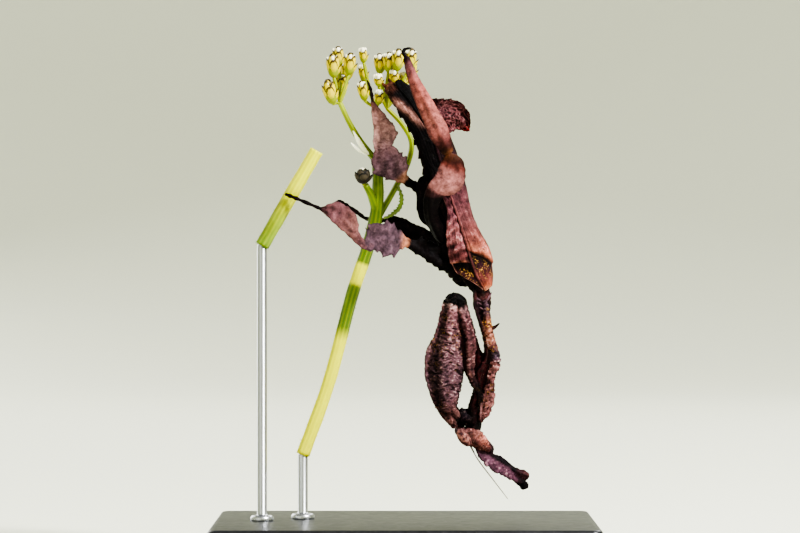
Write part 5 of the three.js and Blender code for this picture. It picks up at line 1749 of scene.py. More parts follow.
@dataclass
class WalkingLeg:
    """A walking leg with leafy lobes."""

    coxa: tuple[Row, ...]
    femur: tuple[Row, ...]
    tibia: tuple[Row, ...]
    foot: tuple[Row, ...]
    femur_side: Row = UP
    tibia_side: Row = UP
    femur_tones: tuple[Any, ...] = ("#0e0809", "#120a0c", "#2a1a1e")
    tibia_tones: tuple[Any, ...] = ("#3a2628", "#2e1e20")
    foot_tones: tuple[Any, ...] = ("#2a1a18", "#120a0b")
    femur_profile: tuple[float, ...] = (0.12, 0.0, -0.08, 0.0, 0.1)
    tibia_profile: tuple[float, ...] = (0.1, 0.0, -0.06, 0.0, 0.1)
    # painted light and shade across femur and tibia, from the minus edge to the plus edge
    femur_shade: tuple[float, ...] = (1.1, 0.85, 1.0, 0.8, 1.1)
    tibia_shade: tuple[float, ...] = (1.1, 0.9, 1.0, 0.8, 1.1)
    teeth: tuple[float, float] = (0.1, 0.1)
    tooth_pitch: float = 0.9
    ripple: float = 0.1
    veined: float = 0.35
    wrinkle: float = 0.05

    def limbs(self) -> list[Limb]:
        """The leg's coxa, femur, tibia and foot.

        Returns:
            The forms that the skin grows over.
        """
        return [
            Limb(self.coxa, ACROSS, ("#0e0809", "#140b0e"), wrinkle=0.1, wrinkle_pitch=0.6),
            Limb(
                self.femur, self.femur_side, self.femur_tones, profile=self.femur_profile, shade=self.femur_shade,
                teeth=self.teeth[0], tooth_pitch=self.tooth_pitch, ripple=self.ripple, wrinkle=self.wrinkle,
                veined=self.veined,
            ),
            Limb(
                self.tibia, self.tibia_side, self.tibia_tones, profile=self.tibia_profile, shade=self.tibia_shade,
                teeth=self.teeth[1], tooth_pitch=self.tooth_pitch, ripple=self.ripple, wrinkle=self.wrinkle,
                veined=self.veined,
            ),
            Limb(self.foot, UP, self.foot_tones, wrinkle=0.0, segments=4),
        ]

    def claws(self) -> list[tuple[Array, Array, float]]:
        """The two claws of the foot: foot, direction and length in mm of each."""
        tip, ahead, wide, deep = (v[0] for v in frames(self.foot, UP, np.array([1.0])))
        return [(tip - 0.1 * ahead, unit(ahead + 0.7 * side * deep - 0.5 * wide), 0.34) for side in (-1, 1)]


MID_RIGHT = WalkingLeg(
    coxa=((7.2, 0.4, 30.9, 0.6, 0.55), (6.1, 0.4, 31.7, 0.8, 0.65), (4.8, 0.1, 33.1, 0.8, 0.65)),
    femur=(
        (5.2, 0.1, 32.8, 0.9, 0.8, 0.7), (3.7, -0.4, 33.4, 1.5, 0.75, 0.6), (2.6, -1.0, 34.0, 1.6, 0.55, 0.45),
        (1.3, -1.8, 34.8, 1.3, 0.6, 0.4), (0.15, -2.3, 35.5, 0.55, 0.5, 0.32), (-1.4, -2.85, 35.7, 1.8, 1.85, 0.28),
        (-2.6, -3.1, 35.9, 2.0, 1.75, 0.27), (-3.9, -3.15, 35.5, 1.35, 1.0, 0.27),
        (-4.35, -3.2, 35.4, 0.6, 0.5, 0.25),
    ),
    tibia=(
        (-3.4, -3.15, 34.75, 0.42, 0.4, 0.3), (-4.6, -3.2, 35.35, 0.45, 0.27),
        (-5.55, -3.15, 36.4, 0.65, 0.6, 0.26), (-6.3, -3.05, 37.7, 1.25, 1.1, 0.26),
        (-7.6, -2.9, 38.55, 1.5, 0.85, 0.25), (-8.6, -2.75, 38.95, 0.85, 0.4, 0.24), (-9.3, -2.62, 39.25, 0.2),
    ),
    foot=(
        (-9.2, -2.65, 39.2, 0.22, 0.2), (-11.3, -2.3, 40.1, 0.2, 0.19), (-12.4, -2.1, 40.55, 0.21, 0.2),
        (-13.15, -1.8, 40.85, 0.2, 0.18),
    ),
    tibia_side=(0.6, 0.0, 0.8),
    # the femur's root half is painted black as shade; the lobe beyond it is in lit colours
    femur_tones=(
        (0.0, "#0a0506"), (0.44, "#0c0607"), (0.475, "#1e1014"), (0.49, "#e09c70"), (0.53, "#d0906e"),
        (0.56, "#745e68"), (0.8, "#725c66"), (1.0, "#705a64"),
    ),
    tibia_tones=(
        (0.0, "#6c525c"), (0.15, "#92686a"), (0.4, "#9e7068"), (0.65, "#926668"), (0.88, "#7e5658"),
        (0.96, "#1a0e10")
    ),
    foot_tones=("#1a0f11", "#120a0b"), teeth=(0.26, 0.08), tooth_pitch=0.9, ripple=0.16, wrinkle=0.03, veined=0.12,
)
MID_LEFT = WalkingLeg(
    coxa=((8.0, 1.0, 31.4, 0.5), (7.1, 1.7, 32.7, 0.65, 0.6), (6.2, 2.1, 34.4, 0.6, 0.55)),
    femur=(
        (6.4, 2.1, 34.2, 0.6, 0.55), (4.9, 2.3, 35.1, 0.75, 0.9, 0.55), (3.1, 2.7, 36.1, 0.6, 1.4, 0.4),
        (0.7, 3.3, 37.3, 0.5, 1.65, 0.3), (-1.0, 3.7, 37.8, 0.8, 0.9, 0.28), (-2.4, 3.93, 38.02, 0.35, 0.3, 0.28),
    ),
    tibia=(
        (-2.3, 3.93, 38.02, 0.3, 0.28), (-4.2, 4.0, 38.2, 0.22, 0.2), (-5.5, 3.9, 39.05, 0.22, 0.2),
        (-6.7, 3.79, 39.9, 0.2),
    ),
    foot=((-6.6, 3.8, 39.8, 0.18), (-7.3, 3.6, 40.2, 0.15), (-7.9, 3.4, 39.9, 0.1)),
    femur_tones=("#0e0809", "#0e0809", "#120a0c", "#160e10", "#1e1214"), tibia_tones=("#2a1a1c", "#1e1214"),
    teeth=(0.15, 0.05),
)
HIND_RIGHT = WalkingLeg(
    coxa=((6.4, 0.4, 33.9, 0.5), (5.3, 0.3, 34.8, 0.65, 0.6), (4.1, -0.2, 35.9, 0.6, 0.55)),
    femur=(
        (4.4, -0.1, 35.7, 0.6, 0.55), (3.7, -1.2, 36.7, 0.8, 0.6), (2.85, -2.5, 38.6, 0.8, 0.45),
        (2.9, -3.4, 41.0, 1.5, 0.7, 0.4), (4.2, -3.9, 42.7, 2.4, 0.9, 0.33), (4.9, -4.1, 44.2, 1.7, 1.0, 0.33),
        (4.9, -4.2, 45.2, 0.6, 0.36),
    ),
    tibia=(
        (4.85, -4.2, 45.1, 0.6, 0.7, 0.36), (3.8, -4.2, 47.4, 1.05, 1.25, 0.36),
        (3.0, -4.15, 49.1, 0.95, 1.15, 0.36), (2.1, -4.05, 50.9, 0.85, 1.0, 0.33),
        (1.0, -3.8, 53.2, 0.6, 0.72, 0.28), (0.1, -3.5, 55.8, 0.36, 0.4, 0.25),
    ),
    foot=(
        (0.05, -3.5, 55.6, 0.25, 0.22), (-0.2, -3.3, 56.4, 0.2, 0.18), (0.2, -3.1, 56.65, 0.16, 0.15),
        (0.8, -2.9, 56.75, 0.1),
    ),
    femur_side=ACROSS, tibia_side=ACROSS,
    # the femur's root half is painted black as shade, with a painted brown shadow in the fold near the knee
    femur_tones=(
        (0.0, "#0e0809"), (0.46, "#0c0607"), (0.51, "#4a2c2c"), (0.545, "#bc827a"), (0.62, "#cc8e86"),
        (0.74, "#c4847c"), (0.79, "#7a4238"), (0.85, "#3a1c16"), (0.95, "#6a4028"), (1.0, "#4a2a18"),
    ),
    tibia_tones=(
        (0.0, "#7a5030"), (0.05, "#3a1e16"), (0.12, "#5e3430"), (0.18, "#b06c62"), (0.4, "#c47c6e"),
        (0.7, "#c27466"), (0.85, "#a66660"), (0.92, "#845658"), (0.97, "#2a1416"),
    ),
    foot_tones=("#160c0e", "#0e0809"), femur_profile=(0.0, 0.15, 0.25, 0.2, 0.1, -0.15),
    tibia_profile=(-0.1, 0.05, 0.14, 0.2, 0.1, -0.1), wrinkle=0.025, femur_shade=(0.7, 1.0, 1.05, 1.0, 1.0, 0.8),
    tibia_shade=(0.5, 0.8, 0.95, 1.0, 1.15, 1.3), teeth=(0.03, 0.0), ripple=0.03, veined=0.0,
)
HIND_LEFT = WalkingLeg(
    coxa=((7.0, 1.0, 34.4, 0.5), (6.2, 1.7, 35.8, 0.65, 0.6), (5.4, 2.15, 37.4, 0.55, 0.5)),
    femur=(
        (5.4, 2.15, 37.3, 0.6, 0.55), (4.3, 2.4, 39.0, 0.8, 0.75, 0.6), (2.6, 2.5, 40.4, 0.75, 0.85, 0.5),
        (1.9, 2.1, 41.3, 0.6, 0.7, 0.42), (0.8, 1.6, 42.0, 0.5, 0.38), (-0.1, 1.1, 42.5, 0.6, 0.5, 0.3),
        (-0.9, 0.8, 43.4, 1.5, 0.27), (-1.6, 0.6, 44.3, 1.7, 2.1, 0.27), (-2.1, 0.5, 45.2, 1.5, 1.8, 0.27),
        (-2.5, 0.4, 46.1, 0.8, 1.1, 0.27),
    ),
    tibia=(
        (-2.45, 0.38, 45.7, 1.3, 0.9, 0.27), (-2.8, 0.3, 46.7, 1.9, 0.75, 0.26),
        (-2.95, 0.25, 47.8, 2.0, 0.5, 0.26), (-3.25, 0.2, 49.4, 1.1, 0.4, 0.25), (-3.6, 0.2, 51.2, 0.2),
    ),
    foot=((-3.55, 0.2, 51.0, 0.2), (-3.8, 0.3, 52.5, 0.16), (-4.2, 0.5, 53.5, 0.1)), femur_side=(0.7, 0.0, 0.7),
    tibia_side=ACROSS,
    # the femur's root half is painted black as shade
    femur_tones=(
        (0.0, "#0e0809"), (0.5, "#0c0607"), (0.53, "#120a0c"), (0.545, "#e8b08c"), (0.595, "#e0a482"),
        (0.625, "#7a6068"), (0.8, "#846870"), (1.0, "#a88084"),
    ),
    tibia_tones=((0.0, "#b48c90"), (0.3, "#e0b2aa"), (0.7, "#dcaaa0"), (0.93, "#8a5e54"), (1.0, "#2a1614")),
    femur_profile=(0.15, 0.1, 0.0, -0.1, 0.05, 0.15), tibia_profile=(0.2, 0.05, -0.05, 0.1),
    femur_shade=(0.8, 0.75, 0.8, 1.0, 1.3, 1.4), tibia_shade=(1.35, 1.1, 0.8, 0.6), teeth=(0.18, 0.07),
    tooth_pitch=1.0, ripple=0.16, wrinkle=0.035, veined=0.12,
)


@dataclass
class Mantis:
    """The whole animal."""

    trunk: Trunk = field(default_factory=Trunk)
    forebody: Forebody = field(default_factory=Forebody)
    mouth: tuple[Row, ...] = (
        (6.0, 0, 15.1, 0.8, 0.5), (6.05, 0, 16.0, 0.75, 0.5), (6.2, 0, 16.8, 0.5, 0.4), (6.3, 0, 17.4, 0.2, 0.18),
    )
    eye_radii: tuple[float, float, float] = (0.64, 0.72, 1.1)  # across, outward and along
    eye_lean: Row = (0.62, 0.0, -0.78)
    eye_reach: float = 1.5
    eye_middle: Row = (6.86, 0.0, 14.13)
    spine_breadth: float = 0.22  # share of its length
    feeler_joint: float = 0.22  # mm
    feeler_radii: tuple[float, float] = (0.11, 0.045)  # mm at root and tip
    feelers: tuple[tuple[Row, ...], ...] = (
        ((7.15, -0.6, 13.25), (8.03, -0.9, 11.7), (9.68, -1.3, 9.5), (11.11, -1.6, 7.64)),
        ((7.5, 0.8, 13.2), (9.5, 2.1, 11.4), (11.4, 2.7, 10.2), (12.9, 3.1, 9.5)),
    )

    def skin(self) -> bpy.types.Object:
        """Grows the one skin over body, head, crest and legs.

        Returns:
            The finished piece.
        """
        limbs = [*self.trunk.limbs(), *self.forebody.limbs()]
        limbs.append(Limb(self.mouth, self.forebody.head_left, ("#2a1618", "#160c0e"), wrinkle=0.05))
        # the throat is painted dark as the shade between knees, mouthparts and head
        limbs.append(Limb(self.forebody.throat, UP, ("#160b0e", "#1a1018", "#160b0e"), wrinkle=0.1))
        for hand in (1, -1):
            limbs += RaptorialLeg(hand).limbs()
        for leg in (MID_RIGHT, MID_LEFT, HIND_RIGHT, HIND_LEFT):
            limbs += leg.limbs()
        skin = Skin(limbs=limbs).grow("mantis_skin")
        dress(skin, Dress.CUTICLE)
        legs = [
            f"{leg}_{side}_{part}" for leg in ("midleg", "hindleg") for side in ("left", "right")
            for part in ("femur", "tibia", "tarsus")
        ]
        arms = [
            f"foreleg_{part}_{side}" for part in ("coxa", "femur", "tibia", "tarsus") for side in ("left", "right")
        ]
        body = ["head", "crest", "mouthparts", "neck", "pronotum", "thorax", "abdomen"]
        return keep(skin, "cuticle", *body, *arms, *legs)

    def wings(self) -> None:
        """Both forewings and the left one's flap."""
        right = dress(RIGHT_WING.build("forewing_right_leather"), Dress.TEGMEN)
        keep(right, "wing", "forewing_right")
        left = dress(LEFT_WING.build("forewing_left_leather"), Dress.TEGMEN)
        keep(left, "wing", "forewing_left")
        keep(dress(Flap().build("forewing_left_flap"), Dress.TEGMEN), "wing")

    def eyes(self) -> None:
        """Both compound eyes."""
        left = np.array(self.forebody.head_left)
        for hand, name in ((1, "left"), (-1, "right")):
            axis = unit(np.array(self.eye_lean))
            second = unit(left * hand - (left * hand) @ axis * axis)
            first = np.cross(axis, second)
            centre = np.array(self.eye_middle) + left * hand * self.eye_reach
            polar, turn = np.linspace(0, np.pi, 40), np.linspace(0, 2 * np.pi, 56, endpoint=False)
            p, t = (g.ravel() for g in np.meshgrid(polar[1:-1], turn, indexing="ij"))
            a, b, c = self.eye_radii
            points = (
                centre
                + (a * np.sin(p) * np.cos(t))[:, None] * first
                + (b * np.sin(p) * np.sin(t))[:, None] * second
                + (c * np.cos(p))[:, None] * axis
            )
            mesh = mesh_of(points * MM, ring_faces(38, 56))
            outward(mesh)
            keep(dress(link(mesh, f"eye_{name}_dome"), Dress.EYE), "eye", f"eye_{name}")

    def spines(self) -> None:
        """The spines of the grasping legs and the claws of the feet."""
        found = [spine for hand in (1, -1) for spine in RaptorialLeg(hand).spines()]
        found += [claw for leg in (MID_RIGHT, MID_LEFT, HIND_RIGHT, HIND_LEFT) for claw in leg.claws()]
        points = bpy.data.meshes.new("spines")
        points.from_pydata([(foot * MM).tolist() for foot, _, _ in found], [], [])
        store(points, "aim", np.array([aim for _, aim, _ in found]))
        breadth = self.spine_breadth
        store(points, "size", np.array([(breadth * n * MM, breadth * n * MM, n * MM) for _, _, n in found]))
        spines = run_tree(spine_tree(), link(points, "spines"), "leg_spines", {"Material": Dress.SPINE.material()})
        keep(spines, "dark_cuticle")

    def antennae(self) -> None:
        """Both feelers, as threads of small joints."""
        for path, name in zip(self.feelers, ("right", "left")):
            points = spline(path, np.linspace(0, 1, 60)) * MM
            carrier = link(bpy.data.meshes.new("path"), "path")
            carrier.data.from_pydata(points.tolist(), [(i, i + 1) for i in range(59)], [])
            thread = run_tree(feeler_tree(), carrier, f"antenna_{name}_thread", {
                "Joint Length": self.feeler_joint * MM, "Root Radius": self.feeler_radii[0] * MM,
                "Tip Radius": self.feeler_radii[1] * MM, "Material": Dress.FEELER.material(),
            })
            keep(thread, "antenna", f"antenna_{name}")


@cache
def spine_tree() -> bpy.types.NodeTree:
    """A tree that stands a slightly bent spine on each point.

    Returns:
        The tree.
    """
    tree, group = geometry_tree("leg_spines", {"Bend": 0.25})
    cone = add(tree, "GeometryNodeMeshCone", {
        "Vertices": 8, "Side Segments": 5, "Radius Top": 0.06, "Radius Bottom": 0.5, "Depth": 1.0,
    })
    place = add(tree, "GeometryNodeInputPosition")
    high = add(tree, "ShaderNodeSeparateXYZ", {0: place}).outputs[2]
    square = add(tree, "ShaderNodeMath", {0: high, 1: high}, operation="MULTIPLY")
    lean = add(tree, "ShaderNodeMath", {0: square, 1: group.outputs["Bend"]}, operation="MULTIPLY")
    shift = add(tree, "ShaderNodeCombineXYZ", {"X": lean})
    bent = add(tree, "GeometryNodeSetPosition", {"Geometry": cone, "Offset": shift})
    aim = add(tree, "GeometryNodeInputNamedAttribute", {"Name": "aim"}, data_type="FLOAT_VECTOR")
    size = add(tree, "GeometryNodeInputNamedAttribute", {"Name": "size"}, data_type="FLOAT_VECTOR")
    turn = add(tree, "FunctionNodeAlignRotationToVector", {"Vector": aim}, axis="Z")
    placed = add(tree, "GeometryNodeInstanceOnPoints", {
        "Points": group, "Instance": bent, "Rotation": turn, "Scale": size,
    })
    return end_tree(tree, group, placed, smooth=True)


@cache
def feeler_tree() -> bpy.types.NodeTree:
    """A tree that strings small joints along a path, thinner toward its end.

    Returns:
        The tree.
    """
    tree, group = geometry_tree("feeler_joints", {
        "Joint Length": 0.0002, "Root Radius": 0.0001, "Tip Radius": 0.00005
    })
    curve = add(tree, "GeometryNodeMeshToCurve", {"Mesh": group})
    even = add(
        tree, "GeometryNodeResampleCurve", {"Curve": curve, "Length": group.outputs["Joint Length"]}, mode="LENGTH"
    )
    share = add(tree, "GeometryNodeSplineParameter")
    radius = add(tree, "ShaderNodeMapRange", {
        "Value": share, "To Min": group.outputs["Root Radius"], "To Max": group.outputs["Tip Radius"],
    })
    size = add(tree, "ShaderNodeCombineXYZ", {"X": radius, "Y": radius, "Z": group.outputs["Joint Length"]})
    tangent = add(tree, "GeometryNodeInputTangent")
    turn = add(tree, "FunctionNodeAlignRotationToVector", {"Vector": tangent}, axis="Z")
    joint = add(tree, "GeometryNodeMeshCone", {
        "Vertices": 8, "Side Segments": 1, "Radius Top": 1.0, "Radius Bottom": 0.72, "Depth": 1.08,
    })
    placed = add(tree, "GeometryNodeInstanceOnPoints", {
        "Points": even, "Instance": joint, "Rotation": turn, "Scale": size,
    })
    return end_tree(tree, group, placed)


# ---- The perch ------------------------------------------------------------------------------


@dataclass
class StalkForm:
    """A ribbed stalk."""

    rows: tuple[Row, ...]  # x, y, z, radius
    ribs: int = 9
    rib_depth: float = 0.06  # share of the radius
    bleach_and_highlight: tuple[Row, ...] = ((0.0, 0.1),)  # pairs of a share of the length and how pale it is
    ring_step: float = 0.25
    sides: int = 36

    def surface(self) -> tuple[Array, list[tuple[int, ...]], Array, Array]:
        """Makes the stalk's closed surface.

        Returns:
            Its points in mm, its faces, and its rib and bleach values.
        """
        pts = np.array([r[:3] for r in self.rows])
        length = float(np.linalg.norm(np.diff(pts, axis=0), axis=1).sum())
        count = max(6, int(length / self.ring_step))
        u = np.linspace(0, 1, count)
        centre, _, wide, deep = frames(self.rows, ACROSS, u)
        radius = along([r[3] for r in self.rows], u)[:, None]
        turn = 2 * np.pi * np.arange(self.sides)[None, :] / self.sides
        rib = np.cos(self.ribs * turn + 1.5 * u[:, None])
        uneven = NOISE(np.stack([u * length / 2.0, 0 * u, 0 * u + pts[0, 0]], 1))[:, None]
        r = radius * (1 + self.rib_depth * rib + 0.08 * uneven)
        w, d = (r * np.cos(turn))[..., None], (r * np.sin(turn))[..., None]
        points = centre[:, None] + w * wide[:, None] + d * deep[:, None]
        bleach_and_highlight = np.interp(u, [b[0] for b in self.bleach_and_highlight], [b[1] for b in self.bleach_and_highlight])
        return (points.reshape(-1, 3), ring_faces(count, self.sides), rib.ravel(), np.repeat(bleach_and_highlight, self.sides))


def stalks(forms: Sequence[StalkForm], name: str) -> bpy.types.Object:
    """One object from several stalks.

    Args:
        forms: The stalks.
        name: The object's name.

    Returns:
        The object, in metres.
    """
    made = [form.surface() for form in forms]
    points, faces = joined(m[:2] for m in made)
    mesh = mesh_of(points * MM, faces)
    store(mesh, "rib", np.concatenate([m[2] for m in made]))
    store(mesh, "bleach_and_highlight", np.concatenate([m[3] for m in made]))
    return dress(link(mesh, name), Dress.STALK)


@dataclass
class Bud:
    """A closed yarrow flower head."""

    x: float
    y: float
    z: float
    wide: float
    long: float
    open: float = 0.3  # how much of the florets shows


@dataclass
class Shoot:
    """A side shoot: a stalk that ends in a cluster of buds on short stalks."""

    name: str
    node: str
    path: tuple[Row, ...]
    buds: tuple[Bud, ...]
    finish: Dress = Dress.BRACT
    bleach_and_highlight: float = 0.25  # at the stalk's upper end
    bracts: int = 13
    bract_size: tuple[float, float] = (1.25, 1.1)  # length and breadth, in shares of the bud's

    def build(self) -> None:
        """Makes the stalks, the buds' cores, their bracts and their florets."""
        hub = np.array(self.path[-1][:3])
        forms = [StalkForm(self.path, ribs=6, bleach_and_highlight=((0.0, 0.0), (1.0, self.bleach_and_highlight)))]
        carriers = []
        for bud in self.buds:
            middle = np.array([bud.x, bud.y, bud.z])
            lean = unit(0.45 * unit(middle - hub) + np.array(UP))
            foot = middle - lean * bud.long * 0.8
            bend = (hub + foot) / 2 + 0.2 * unit(np.cross(middle - hub, [0, 0, 1.0]))
            forms.append(StalkForm(
                ((*hub, 0.2), (*bend, 0.18), (*foot, 0.2)), ribs=5, bleach_and_highlight=((0.0, 0.25),), sides=14
            ))
            carriers.append((middle, lean, bud))
        keep(stalks(forms, f"{self.name}_stalks"), "stem", self.node)
        cores, faces = joined(egg(m, lean, bud.wide * 0.8, bud.long * 0.85, 0.0) for m, lean, bud in carriers)
        core_mesh = mesh_of(cores * MM, faces)
        store(core_mesh, "rim", np.full(len(cores), 0.05))
        keep(dress(link(core_mesh, f"{self.name}_cores"), self.finish), "bud")
        tops, faces = joined(
            florets(m + lean * bud.long * 0.68, lean, bud.wide * (0.6 + 0.3 * bud.open))
            for m, lean, bud in carriers
        )
        keep(dress(link(mesh_of(tops * MM, faces), f"{self.name}_florets"), Dress.PETAL), "bud")
        points = bpy.data.meshes.new("buds")
        points.from_pydata([(m * MM).tolist() for m, _, _ in carriers], [], [])
        store(points, "lean", np.array([lean for _, lean, _ in carriers]))
        store(points, "size", np.array([(b.wide * MM, b.wide * MM, b.long * MM) for _, _, b in carriers]))
        bracts = run_tree(bract_tree(), link(points, "buds"), f"{self.name}_bracts", {
            "Bracts": self.bracts, "Bract Length": self.bract_size[0], "Bract Width": self.bract_size[1],
            "Material": self.finish.material(),
        })
        keep(bracts, "bud")


def egg(middle: Array, lean: Array, wide: float, long: float, twist: float) -> tuple[Array, list[tuple[int, ...]]]:
    """An egg-shaped core.

    Args:
        middle: Its middle.
        lean: The direction of its long axis.
        wide: Its half width.
        long: Its half length.
        twist: Its turn about the long axis.

    Returns:
        Its points and faces.
    """
    first = unit(np.cross(lean, [0.3, 1.0, 0.1]))
    second = np.cross(lean, first)
    polar = np.linspace(0.12, np.pi - 0.12, 14)
    turn = np.linspace(0, 2 * np.pi, 18, endpoint=False) + twist
    p, t = (g.ravel() for g in np.meshgrid(polar, turn, indexing="ij"))
    swell = wide * np.sin(p) * (1 - 0.12 * np.cos(p))
    points = (
        middle + (swell * np.cos(t))[:, None] * first + (swell * np.sin(t))[:, None] * second
        + (long * np.cos(p))[:, None] * lean
    )
    return points, ring_faces(14, 18)


def florets(top: Array, lean: Array, spread: float) -> tuple[Array, list[tuple[int, ...]]]:
    """The pale floret tips that fill a bud's mouth.

    Args:
        top: The middle of the mouth.
        lean: The direction of the bud's long axis.
        spread: The mouth's radius.

    Returns:
        Their points and faces.
    """
    first = unit(np.cross(lean, [0.3, 1.0, 0.1]))
    second = np.cross(lean, first)
    knobs = []
    for i in range(9):
        angle = i * GOLDEN_ANGLE
        out = spread * math.sqrt(i / 9) * 0.85
        centre = top + out * math.cos(angle) * first + out * math.sin(angle) * second
        centre = centre + lean * (0.22 - 0.35 * out**2)
        knobs.append(egg(centre, unit(lean + 0.4 * (centre - top)), 0.2, 0.3, angle))
    return joined(knobs)


@cache
def bract_tree() -> bpy.types.NodeTree:
    """A tree that wraps bracts in a golden spiral round each bud.

    Returns:
        The tree.
    """
    tree, group = geometry_tree("bract_spiral", {
        "Bracts": 30, "Bract Length": 0.8, "Bract Width": 0.5, "Golden Angle": GOLDEN_ANGLE
    })
    index = add(tree, "GeometryNodeInputIndex")
    share = add(tree, "ShaderNodeMath", {0: index, 1: group.outputs["Bracts"]}, operation="DIVIDE")
    turn = add(tree, "ShaderNodeMath", {0: index, 1: group.outputs["Golden Angle"]}, operation="MULTIPLY")
    # The polar angle from the bud's foot, where the spiral starts, to its mouth.
    polar = add(tree, "ShaderNodeMapRange", {"Value": share, "To Min": 2.7, "To Max": 1.1})
    sin_p = add(tree, "ShaderNodeMath", {0: polar}, operation="SINE")
    cos_p = add(tree, "ShaderNodeMath", {0: polar}, operation="COSINE")
    cos_t = add(tree, "ShaderNodeMath", {0: turn}, operation="COSINE")
    sin_t = add(tree, "ShaderNodeMath", {0: turn}, operation="SINE")
    x = add(tree, "ShaderNodeMath", {0: sin_p, 1: cos_t}, operation="MULTIPLY")
    y = add(tree, "ShaderNodeMath", {0: sin_p, 1: sin_t}, operation="MULTIPLY")
    place = add(tree, "ShaderNodeCombineXYZ", {"X": x, "Y": y, "Z": cos_p})
    near = add(tree, "ShaderNodeVectorMath", {0: place, "Scale": 0.8}, operation="SCALE")
    points = add(tree, "GeometryNodePoints", {"Count": group.outputs["Bracts"], "Position": near})
    facing = add(tree, "FunctionNodeAlignRotationToVector", {"Vector": place}, axis="Z")
    raised = add(
        tree, "FunctionNodeAlignRotationToVector", {"Rotation": facing, "Vector": UP}, axis="Y", pivot_axis="Z"
    )
    # One bract: a small grid, narrowed to its tip and cupped over the bud.
    grid = add(tree, "GeometryNodeMeshGrid", {"Size X": 1.0, "Size Y": 1.0, "Vertices X": 5, "Vertices Y": 6})
    where = add(tree, "ShaderNodeSeparateXYZ", {0: add(tree, "GeometryNodeInputPosition")})
    high = add(tree, "ShaderNodeMath", {0: where.outputs[1], 1: 0.5}, operation="ADD")
    narrow = add(tree, "ShaderNodeFloatCurve", {"Value": high})
    points_on = narrow.mapping.curves[0].points
    points_on[0].location, points_on[1].location = (0.0, 0.6), (1.0, 0.3)
    points_on.new(0.4, 1.0)
    points_on.new(0.82, 0.82)
    narrow.mapping.update()
    half = add(tree, "ShaderNodeMath", {0: where.outputs[0], 1: narrow}, operation="MULTIPLY")
    wide = add(tree, "ShaderNodeMath", {0: half, 1: group.outputs["Bract Width"]}, operation="MULTIPLY")
    tall = add(tree, "ShaderNodeMath", {0: high, 1: group.outputs["Bract Length"]}, operation="MULTIPLY")
    wide_sq = add(tree, "ShaderNodeMath", {0: wide, 1: wide}, operation="MULTIPLY")
    tall_sq = add(tree, "ShaderNodeMath", {0: tall, 1: tall}, operation="MULTIPLY")
    cup = add(tree, "ShaderNodeMath", {0: wide_sq, 1: -1.3}, operation="MULTIPLY")
    drop = add(tree, "ShaderNodeMath", {0: tall_sq, 1: -0.5, 2: cup}, operation="MULTIPLY_ADD")
    lift = add(tree, "ShaderNodeMath", {0: tall, 1: 0.16, 2: drop}, operation="MULTIPLY_ADD")
    shape = add(tree, "ShaderNodeCombineXYZ", {"X": wide, "Y": tall, "Z": lift})
    side = add(tree, "ShaderNodeMath", {0: where.outputs[0]}, operation="ABSOLUTE")
    side_rim = add(tree, "ShaderNodeMath", {0: side, 1: 2.0}, operation="MULTIPLY")
    rim = add(tree, "ShaderNodeMath", {0: side_rim, 1: high}, operation="MAXIMUM")
    marked = add(
        tree, "GeometryNodeStoreNamedAttribute", {"Geometry": grid, "Name": "rim", "Value": rim}, data_type="FLOAT",
        domain="POINT"
    )
    bract = add(tree, "GeometryNodeSetPosition", {"Geometry": marked, "Position": shape})
    whorl = add(tree, "GeometryNodeInstanceOnPoints", {"Points": points, "Instance": bract, "Rotation": raised})
    bud = add(tree, "GeometryNodeRealizeInstances", {"Geometry": whorl})
    lean = add(tree, "GeometryNodeInputNamedAttribute", {"Name": "lean"}, data_type="FLOAT_VECTOR")
    size = add(tree, "GeometryNodeInputNamedAttribute", {"Name": "size"}, data_type="FLOAT_VECTOR")
    upright = add(tree, "FunctionNodeAlignRotationToVector", {"Vector": lean}, axis="Z")
    buds = add(tree, "GeometryNodeInstanceOnPoints", {
        "Points": group, "Instance": bud, "Rotation": upright, "Scale": size,
    })
    return end_tree(tree, group, buds, smooth=True)


@cache
def down_tree() -> bpy.types.NodeTree:
    """A tree that scatters fine hairs over a stalk.

    Returns:
        The tree.
    """
    tree, group = geometry_tree("stalk_down", {
        "Density": 3.0e6, "Hair Length": 0.0005, "Hair Radius": 0.00002, "Seed": SEED
    })
    spread = add(tree, "GeometryNodeDistributePointsOnFaces", {
        "Mesh": group, "Density": group.outputs["Density"], "Seed": group.outputs["Seed"],
    })
    hair = add(tree, "GeometryNodeMeshCone", {"Vertices": 3, "Radius Top": 0.1, "Radius Bottom": 1.0, "Depth": 1.0})
    chance = add(
        tree, "FunctionNodeRandomValue", {"Min": 0.4, "Max": 1.0, "Seed": group.outputs["Seed"]}, data_type="FLOAT"
    )
    length = add(tree, "ShaderNodeMath", {0: chance, 1: group.outputs["Hair Length"]}, operation="MULTIPLY")
    size = add(tree, "ShaderNodeCombineXYZ", {
        "X": group.outputs["Hair Radius"], "Y": group.outputs["Hair Radius"], "Z": length,
    })
    placed = add(tree, "GeometryNodeInstanceOnPoints", {
        "Points": spread, "Instance": hair, "Rotation": spread.outputs["Rotation"], "Scale": size,
    })
    return end_tree(tree, group, placed)


